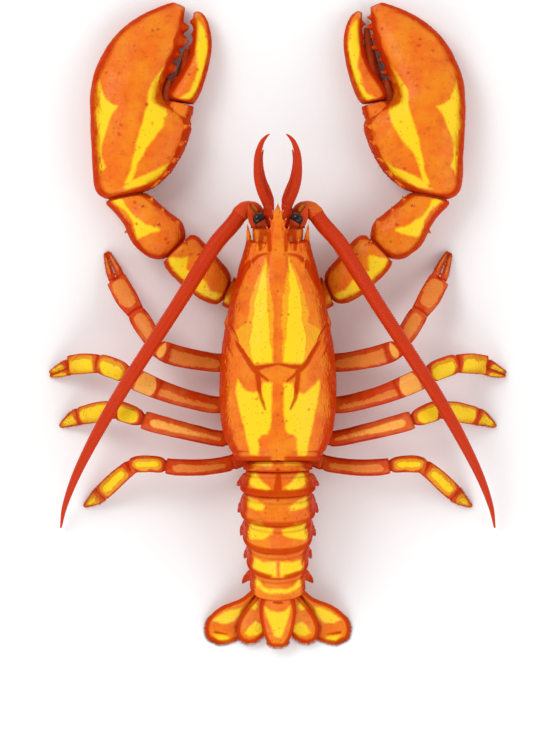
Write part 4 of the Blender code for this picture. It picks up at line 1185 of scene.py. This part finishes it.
class LOBSTER_OT_abdomen(bpy.types.Operator):
    """Dresses the six rings of the tail"""

    bl_idname = "lobster.abdomen"
    bl_label = "Tail rings"

    def execute(self, context):
        finish = shell_material("tail shell", colours().shell, pit_scale=430.0)
        for number in RINGS:
            node = f"abdomen_{number}"
            piece = dress_node(node, "shell_orange", finish, TAIL_YELLOW, sizes().cell, seed=20 + number)
            points, normals = surface_of(piece)
            share = ring_share(points, number)
            upper = smooth_step(normals[:, 2], -0.5, 0.1)
            groove = 0.55 * bell(share - FRONT_GROOVE, 0.035) + 0.3 * bell(share - HIND_CREASE, 0.03)
            rim = 0.35 * smooth_step(share, 0.84, 0.92)
            press(piece, (groove - rim) * upper)
            # Dark hind band: the ring's dark rim and painted shadow
            band = smooth_step(share, TAIL_BANDS[number] - 0.05, TAIL_BANDS[number] + 0.05)
            if number == SPLIT_BAND:
                band *= smooth_step(np.abs(points[:, 0]), 2 * MM, 5 * MM)
            # Painted shade in the front groove
            front = 0.35 * bell(share - FRONT_GROOVE, 0.05)
            dark = np.maximum.reduce([band, front, streaked(points, TAIL_DARK)]) * upper
            raise_attribute(piece, "seam", 0.9 * dark)
            low = (points[:, 2] < points[:, 2].min() + 9 * MM) * (np.abs(points[:, 0]) < 13 * MM)
            if number in PADDLED_RINGS:
                name = f"paddle_bristles_{number}"
                fringe(name, piece, low, 260, PADDLE_BRISTLE, (0, 0.4, -0.6), tile=number, seed=number)
        return {"FINISHED"}


class LOBSTER_OT_fan(bpy.types.Operator):
    """Dresses the blades of the tail fan and fringes them"""

    bl_idname = "lobster.fan"
    bl_label = "Tail fan"

    def execute(self, context):
        finish = shell_material("fan shell", colours().shell, pit_scale=520.0)
        blades = [("telson", "telson", 1)]
        for side, way in SIDES:
            blades += [(f"{blade}_{side}", blade, way) for blade in ("uropod_inner", "uropod_outer")]
        for number, (node, blade, way) in enumerate(blades):
            root_x, turn, length = BLADES[blade]
            root_x, turn = root_x * way, math.radians(turn) * way
            piece = dress_node(node, "shell_orange", finish, FAN_YELLOW, FAN_CELL, swell=0.4, soften=3)
            points, normals = surface_of(piece)
            x, y = points[:, 0] / MM - root_x, points[:, 1] / MM - TAIL_JOINTS[-1][0]
            ahead = (math.sin(turn), math.cos(turn))
            distance, offset = x * ahead[0] + y * ahead[1], x * ahead[1] - y * ahead[0]
            share = distance / length
            upper = smooth_step(normals[:, 2], 0.0, 0.4)
            ridges = np.zeros(len(points))
            for spread_at in (-4.62, 4.62) if blade == "telson" else (0.0, 5.88):
                ridges += 0.35 * bell(offset - spread_at * np.clip(share, 0, 1), 0.9)
            ridges *= smooth_step(share, 0.05, 0.2) * (1 - smooth_step(share, 0.75, 0.9))
            rays = 0.10 * np.cos(offset * 3.2) * smooth_step(share, 0.55, 0.85)
            dark = 1 - smooth_step(edge_distance(points, normals), 1.7 * MM, 2.9 * MM)
            suture = np.zeros(len(points))
            if blade == "uropod_outer":
                suture = bell(distance - SUTURE - 0.9 * np.cos(offset * 2.4), 0.7)
                dark = np.maximum(dark, 0.5 * suture)
            dark = np.maximum(dark, streaked(points, FAN_DARK) * upper)
            press(piece, (0.45 * suture - ridges - rays) * upper, dark)
            edge = (np.abs(normals[:, 2]) < 0.6) * (share > (0.62 if blade == "telson" else 0.45))
            edge = edge * (normals[:, 0] * ahead[0] + normals[:, 1] * ahead[1] > -0.2)
            way = (ahead[0] * 0.9, ahead[1] * 0.9, -0.05)
            fringe(f"{node}_bristles", piece, edge, 900, sizes().bristle, way, tile=number, seed=50 + number)
        return {"FINISHED"}


class LOBSTER_OT_claws(bpy.types.Operator):
    """Dresses the two claws, with their spines, teeth and tips"""

    bl_idname = "lobster.claws"
    bl_label = "Claws"

    def execute(self, context):
        for side, way in SIDES:
            for number, part in enumerate(("palm", "finger")):
                node = f"claw_{part}_{side}"
                cell = sizes().cell if part == "palm" else sizes().limb_cell
                piece = refined_copy(node, node + "_shell", cell)
                mirrored = points_of(piece) / MM * np.array((way, 1, 1))
                near_teeth = off_line(mirrored, BITES[part][0])[0] < 8.5
                smooth_near(piece, near_teeth, TOOTH_ROUNDING[side])
                if part == "palm":
                    smooth_near(piece, np.linalg.norm(mirrored - HINGE, axis=1) < 10, rounds=14)
                relief(piece, node, granule=0.8, seed=40 + number + way)
                shade_markings(piece, CLAW_YELLOW, rim_at=0.75)
                finish_piece(piece, "claw_orange", claw_finish(), node)
                self.shape(piece, *BITES[part], way)
            web = ringed_tube(f"claw_web_{side}", CLAW_WEB, way, sizes().ring_pitch, 0.06)
            finish_piece(web, "leg_red", membrane_finish())
            name, node = f"claw_spines_{side}", f"claw_palm_{side}"
            spines_on(name, node, slope=0.42, length=4.6, slot="claw_orange")
        return {"FINISHED"}

    def shape(self, piece, line, towards, way):
        """Paints shadow along the biting edges and lines of shade beside them, lightens the tips, and raises
        knobs and grains.
        """
        points, normals = surface_of(piece)
        mirrored = points / MM * np.array((way, 1, 1))
        tip = np.zeros(len(points))
        for place in CLAW_TIPS:
            tip = np.maximum(tip, 1 - smooth_step(np.linalg.norm(mirrored - place, axis=1), 3.0, 6.5))
        ys, xs = np.array(line)[::-1, 1], np.array(line)[::-1, 0]
        beyond = (mirrored[:, 0] - np.interp(mirrored[:, 1], ys, xs)) * towards
        beside = smooth_step(mirrored[:, 1], ys[0] - 2, ys[0] + 2)
        beside = beside * (1 - smooth_step(mirrored[:, 1], ys[-1], ys[-1] + 6))
        # Painted shadow over the teeth and between the fingers
        bite_shadow = smooth_step(beyond, -4.5, -1.5) * beside
        tooth_tips = smooth_step(beyond, 1.8, 4.2) * beside
        attribute(piece, "tip", np.maximum(0.12 * tip, 0.16 * tooth_tips))
        inner = smooth_step(-normals[:, 0] * way, 0.2, 0.7) * (points[:, 1] > KNOBS_BEHIND)
        knobs = bumps(points, 260, 1.5 * MM, inner, 71)
        grains = bumps(points, 1500, 0.9 * MM, normals[:, 2] > -0.2, 72)
        dark = np.maximum(0.9 * bite_shadow, streaked(points, CLAW_SHADE_LINES) * (normals[:, 2] > 0))
        press(piece, -0.45 * knobs * inner - 0.12 * grains, dark)


class LOBSTER_OT_arms(bpy.types.Operator):
    """Dresses the arm joints that carry the claws"""

    bl_idname = "lobster.arms"
    bl_label = "Arms"

    def execute(self, context):
        for side, way in SIDES:
            for number, part in enumerate(("ischium", "merus", "carpus")):
                node = f"cheliped_{part}_{side}"
                seed = 60 + number + way
                piece = dress_node(node, "claw_orange", claw_finish(), ARM_YELLOW, rim_at=0.70, seed=seed)
                points, normals = surface_of(piece)
                grains = bumps(points, 420, 1.0 * MM, normals[:, 2] > 0.0, 81 + number)
                press(piece, -0.16 * grains)
                if part != "ischium":
                    name = f"{part}_spines_{side}"
                    spines_on(name, node, slope=0.32, length=5.4, slot="claw_orange")
        return {"FINISHED"}


class LOBSTER_OT_legs(bpy.types.Operator):
    """Dresses the eight walking legs and their bristly tips"""

    bl_idname = "lobster.legs"
    bl_label = "Walking legs"

    def execute(self, context):
        for side, way in SIDES:
            for number in LEGS:
                line = [(x * way, y - SHIFT, z) for x, y, z in LEG_LINES[number]]
                places = line_places(line)
                for part in ("upper", "lower"):
                    outer = part == "lower" and number > 1
                    piece = dress_node(
                        f"leg_{number}_{part}_{side}", "leg_red", leg_finish(outer), rim_at=0.68,
                        granule=0.6, swell=0.5, seed=80 + number + way, soften=4,
                    )
                    self.shape(piece, line, places, part, outer, number)
        return {"FINISHED"}

    def shape(self, piece, line, places, part, outer, number):
        """Cuts the grooves of the joints, marks the painted highlight lines, knee spot and dark tip, and
        fringes the foot.
        """
        points, normals = surface_of(piece)
        _, along_leg = off_line(points / MM, line)
        groove = np.zeros(len(points))
        for k in LEG_GROOVES:
            groove = np.maximum(groove, bell(along_leg - places[k], 0.75))
        beside = np.abs(along_leg[:, None] - np.array(places)[None, [*LEG_GROOVES, LEG_KNEE]]).min(1)
        ways = np.diff(np.array(line), axis=0)
        ways /= np.linalg.norm(ways, axis=1)[:, None]
        way = ways[np.clip(np.searchsorted(places, along_leg) - 1, 0, len(ways) - 1)]
        upward = np.array((0, 0, 1.0)) - way * way[:, 2:]
        upward /= np.linalg.norm(upward, axis=1)[:, None]
        hindward = np.cross(upward, way)
        hindward *= np.sign(hindward[:, 1:2])
        lean, start, full, light = (OUTER_LINES if part == "lower" else INNER_LINES)[number]
        lean = math.radians(lean)
        facing = (normals * (upward * math.cos(lean) + hindward * math.sin(lean))).sum(1)
        taper = 0.16 * bell(beside, 3.5)
        to_knee = places[LEG_KNEE] - along_leg
        if part == "upper":
            taper = taper + 0.05 * smooth_step(to_knee, 5, 45)
        clear = smooth_step(beside, 1.0, 4.0)
        # Painted highlight on the faces that turn up and towards the lean
        middle = light * smooth_step(facing - taper, start, full) * clear
        knee_band = np.zeros(len(points))
        if outer:
            # Beyond the knee the line is yellow, in part the leg's own yellow, with a golden painted
            # highlight on top
            above = smooth_step((normals * upward).sum(1) - taper, 0.78, 0.90)
            middle = np.maximum(middle, GOLDEN * (above * clear))
        elif part == "upper" and number in KNEE_SPOTS:
            at, half = KNEE_SPOTS[number]
            spot = 1 - smooth_step(np.abs(to_knee - at) + 7.0 * (1 - facing), half - 1.0, half + 0.5)
            knee_band = bell(to_knee - at - half - 1.6, 1.3)
            middle = np.maximum(middle * smooth_step(to_knee, at + half, at + half + 4.0), spot)
        to_tip = places[-1] - along_leg
        tip = 1 - smooth_step(to_tip, 2.0, 6.0)
        press(piece, 0.6 * groove, np.maximum(groove, 0.8 * knee_band))
        attribute(piece, "patch", middle)
        raise_attribute(piece, "rim", 0.85 * tip)
        if part == "lower":
            foot = (to_tip > FOOT_REACH[0]) * (to_tip < FOOT_REACH[1]) * (points[:, 2] > 1.2 * MM)
            heading = np.array(line[-1]) - np.array(line[-2])
            heading /= np.linalg.norm(heading)
            name = piece.name.replace("_shell", "_bristles")
            ahead = tuple(heading * 0.8)
            seed = 90 + number
            fringe(name, piece, foot, 420, FOOT_BRISTLE, ahead, tile=number, seed=seed, radius=0.07)


def smooth_line(rows, steps):
    """Evenly spaced rows on a smooth curve through rows of x, y, height and radius."""
    rows = np.array(rows, float)
    slopes = np.gradient(rows, axis=0)
    fine = []
    for k in range(len(rows) - 1):
        for t in np.linspace(0, 1, 24, endpoint=False):
            fine.append(
                rows[k] * (1 + 2 * t) * (1 - t) ** 2 + rows[k + 1] * t * t * (3 - 2 * t)
                + slopes[k] * t * (1 - t) ** 2 - slopes[k + 1] * t * t * (1 - t)
            )
    fine = np.array([*fine, rows[-1]])
    travel = np.concatenate([[0.0], np.cumsum(np.linalg.norm(np.diff(fine[:, :3], axis=0), axis=1))])
    even = np.linspace(0, travel[-1], max(2, int(travel[-1] / steps)) + 1)
    return np.stack([np.interp(even, travel, fine[:, c]) for c in range(4)], axis=1)


def ringed_tube(name, rows, way, pitch, depth, resolution=4):
    """A tapering tube through rows of x, y, height and radius, built of narrow rings."""
    per_ring = len(RING_PROFILE)
    line = smooth_line(rows, pitch / MM / per_ring)
    profile = np.array(RING_PROFILE)[np.arange(len(line)) % per_ring]
    curve = bpy.data.curves.new(name, "CURVE")
    curve.dimensions = "3D"
    curve.bevel_depth = MM
    curve.bevel_resolution = resolution
    curve.use_fill_caps = True
    spline = curve.splines.new("POLY")
    spline.points.add(len(line) - 1)
    for point, (x, y, z, radius), swelling in zip(spline.points, line, profile):
        point.co = (x * way * MM, y * MM, z * MM, 1)
        point.radius = radius * (1 + depth * swelling)
    select_only(new_object(name, curve))
    bpy.ops.object.convert(target="MESH")
    piece = bpy.context.active_object
    face_outwards(piece, merge=0.01 * MM)
    return piece


class LOBSTER_OT_feelers(bpy.types.Operator):
    """Builds the ringed antennae and antennules and dresses their bases"""

    bl_idname = "lobster.feelers"
    bl_label = "Feelers"

    def execute(self, context):
        pitch = sizes().ring_pitch
        for side, way in SIDES:
            whip = ringed_tube(f"antenna_{side}", WHIP, way, pitch, 0.05)
            nodes = (f"antenna_whip_1_{side}", f"antenna_whip_2_{side}")
            finish_piece(whip, "feeler_red", feeler_finish(), *nodes)
            for number, rows in enumerate(LASHES, 1):
                lash = ringed_tube(f"antennule_lash_{number}_{side}", rows, way, pitch * 0.6, 0.07, 3)
                finish_piece(lash, "feeler_red", feeler_finish(), f"antennule_{side}")
            stem = ringed_tube(f"antenna_stem_{side}", WHIP_STEM, way, STEM_PITCH, 0.03, resolution=6)
            attribute(stem, "patch", marked(points_of(stem), STEM_YELLOW) * (normals_of(stem)[:, 2] > 0))
            finish_piece(stem, "feeler_red", leg_finish(True), *nodes)
            dress_node(
                f"antenna_base_{side}", "feeler_red", leg_finish(), cell=FEELER_CELL, rim=0.6,
                swell=0.4, soften=3,
            )
            node = f"antenna_scale_{side}"
            scale = dress_node(node, "leg_red", leg_finish(), cell=FINE_CELL, swell=0.2, soften=3)
            self.ridge(scale, way)
            base = ringed_tube(f"antennule_base_{side}", ANTENNULE_STEM, way, STEM_PITCH, 0.10)
            finish_piece(base, "feeler_red", feeler_finish(), f"antennule_{side}")
        return {"FINISHED"}

    def ridge(self, scale, way):
        """Raises a ridge along the scale of an antenna and fringes its inner edge."""
        points, normals = surface_of(scale)
        x, y = points[:, 0] * way / MM, points[:, 1] / MM
        middle = 13.2 + (-57.0 - y) * 0.31
        line = bell(x - middle, 0.6)
        press(scale, -0.35 * line * (normals[:, 2] > 0.2), 0.6 * bell(x - middle - 1.2, 0.4))
        inner = (np.abs(normals[:, 2]) < 0.7) * (normals[:, 0] * way < -0.1) * (y < -61)
        name = scale.name.replace("_shell", "_bristles")
        fringe(name, scale, inner, 320, SCALE_BRISTLE, (-0.3 * way, -0.5, 0), tile=9, seed=130)


class LOBSTER_OT_head(bpy.types.Operator):
    """Dresses the face, jaws, outer mouth legs, eyes and the plate between the legs"""

    bl_idname = "lobster.head"
    bl_label = "Head and underside"

    def execute(self, context):
        face = dress_node("head", "underside", carapace_finish(), cell=FACE_CELL, rim=0.5, seed=5)
        places = points_of(face)
        places[:, 1] += FACE_SHIFT * smooth_step(places[:, 1] / MM, -54.5, -51.5)
        move_points(face, places)
        dark = streaked(points_of(face), CARAPACE_DARK) * (normals_of(face)[:, 2] > 0.4)
        raise_attribute(face, "seam", 0.9 * dark)
        keel = dress_node("sternum", "underside", under_finish(), cell=STERNUM_CELL, rim=0.3, seed=6)
        points, normals = surface_of(keel)
        y = points[:, 1] / MM
        groove = np.zeros(len(y))
        for place in STERNUM_GROOVES:
            groove = np.maximum(groove, bell(y - place, 0.9))
        press(keel, 0.8 * groove * (normals[:, 2] < 0.2), 0.7 * groove)
        eye = plain_material("eye gloss", colours().eye, 0.16, 0.35, mottle=0.1, scale=900.0)
        for side, way in SIDES:
            jaw = dress_node(f"maxilliped_{side}", "leg_red", leg_finish(), cell=FACE_CELL, swell=0.6)
            points, normals = surface_of(jaw)
            inner = (normals[:, 0] * way < -0.2) * (points[:, 1] < -0.030)
            name = f"maxilliped_bristles_{side}"
            fringe(name, jaw, inner, 500, JAW_BRISTLE, (-0.4 * way, -0.4, 0), tile=10, seed=140)
            dress_node(f"eyestalk_{side}", "leg_red", leg_finish(), cell=FINE_CELL, swell=0.1, soften=3)
            ball = refined_copy(f"eye_{side}", f"eye_{side}_cornea", EYE_CELL, 8)
            finish_piece(ball, "eye_black", eye, f"eye_{side}")
        return {"FINISHED"}


class LOBSTER_OT_membranes(bpy.types.Operator):
    """Fills the joints of limbs and tail with soft skin"""

    bl_idname = "lobster.membranes"
    bl_label = "Joint skin"

    def execute(self, context):
        pairs = [("carapace", "abdomen_1")]
        pairs += [(f"abdomen_{n}", f"abdomen_{n + 1}") for n in range(1, 6)]
        for side, _ in SIDES:
            arm = ["sternum", *(f"cheliped_{part}_{side}" for part in ("ischium", "merus", "carpus"))]
            arm += [f"claw_palm_{side}", f"claw_finger_{side}"]
            pairs += zip(arm, arm[1:])
            for n in LEGS:
                leg = ["sternum", f"leg_{n}_upper_{side}", f"leg_{n}_lower_{side}"]
                pairs += zip(leg, leg[1:])
            for part in ("antenna_base", "antennule", "eyestalk", "antenna_scale"):
                pairs.append(("head", f"{part}_{side}"))
            pairs.append((f"antenna_base_{side}", f"antenna_whip_1_{side}"))
            pairs.append((f"eyestalk_{side}", f"eye_{side}"))
        all_points, all_faces = [], []
        for first, second in pairs:
            corners, across = cap_ring(first, second)
            points, faces = membrane(corners, across)
            start = sum(len(part) for part in all_points)
            all_points.append(points)
            all_faces += [tuple(start + i for i in face) for face in faces]
        mesh = bpy.data.meshes.new("joint_skin")
        mesh.from_pydata(np.concatenate(all_points).tolist(), [], all_faces)
        piece = new_object("joint_skin", mesh)
        face_outwards(piece)
        finish_piece(piece, "leg_red", membrane_finish())
        return {"FINISHED"}


class LOBSTER_OT_stage(bpy.types.Operator):
    """Sets the floor, soft studio lights and the camera"""

    bl_idname = "lobster.stage"
    bl_label = "Stage"

    def execute(self, context):
        scene = context.scene
        bpy.ops.mesh.primitive_plane_add(size=12, location=(0, 0, 0))
        floor = bpy.context.active_object
        floor.name = "floor"
        paint = plain_material("floor paint", colours().floor, 0.6, mottle=0.01, scale=3.0)
        floor.data.materials.append(paint)
        for name, place, size, power in LIGHTS:
            light = bpy.data.lights.new(name, "AREA")
            light.energy = power
            light.size = size
            lamp = new_object(name, light)
            lamp.location = place
            lamp.rotation_mode = "QUATERNION"
            lamp.rotation_quaternion = (-Vector(place)).to_track_quat("-Z", "Y")
        world = bpy.data.worlds.new("studio")
        world.use_nodes = True
        tree = world.node_tree
        ways = add_node(tree, "ShaderNodeTexCoord")
        parts = add_node(tree, "ShaderNodeSeparateXYZ")
        tree.links.new(ways.outputs["Generated"], parts.inputs[0])
        dome = spread(tree, parts.outputs["Z"], 0.55, 0.97, 0.97, 0.42)
        tree.links.new(dome, tree.nodes["Background"].inputs["Strength"])
        tree.nodes["Background"].inputs["Color"].default_value = (1.0, 1.0, 1.0, 1)
        scene.world = world
        scene.view_settings.view_transform = "Standard"
        camera = bpy.data.cameras.new("camera")
        camera.lens = CAMERA_LENS
        camera.sensor_width = SENSOR_WIDTH
        camera.clip_start = 0.05
        scene.camera = new_object("camera", camera)
        scene.camera.location = CAMERA_PLACE
        scene.camera.rotation_euler = (0, 0, math.pi)
        return {"FINISHED"}


OPERATORS = (
    LOBSTER_OT_carapace,
    LOBSTER_OT_abdomen,
    LOBSTER_OT_fan,
    LOBSTER_OT_claws,
    LOBSTER_OT_arms,
    LOBSTER_OT_legs,
    LOBSTER_OT_feelers,
    LOBSTER_OT_head,
    LOBSTER_OT_membranes,
    LOBSTER_OT_stage,
)


class LOBSTER_PT_panel(bpy.types.Panel):
    """Lists the settings and the building steps"""

    bl_idname = "LOBSTER_PT_panel"
    bl_label = "Lobster"
    bl_space_type = "VIEW_3D"
    bl_region_type = "UI"
    bl_category = "Lobster"

    def draw(self, context):
        for settings in (context.scene.lobster_sizes, context.scene.lobster_colours):
            for name in settings.__annotations__:
                self.layout.prop(settings, name)
        for operator in OPERATORS:
            self.layout.operator(operator.bl_idname)


CLASSES = (LobsterSizes, LobsterColours, *OPERATORS, LOBSTER_PT_panel)


def register():
    for made in CLASSES:
        bpy.utils.register_class(made)
    bpy.types.Scene.lobster_sizes = PointerProperty(type=LobsterSizes)
    bpy.types.Scene.lobster_colours = PointerProperty(type=LobsterColours)


def unregister():
    del bpy.types.Scene.lobster_sizes
    del bpy.types.Scene.lobster_colours
    for made in reversed(CLASSES):
        bpy.utils.unregister_class(made)


def main():
    register()
    for operator in OPERATORS:
        group, name = operator.bl_idname.split(".")
        getattr(getattr(bpy.ops, group), name)()


if __name__ == "__main__":
    main()
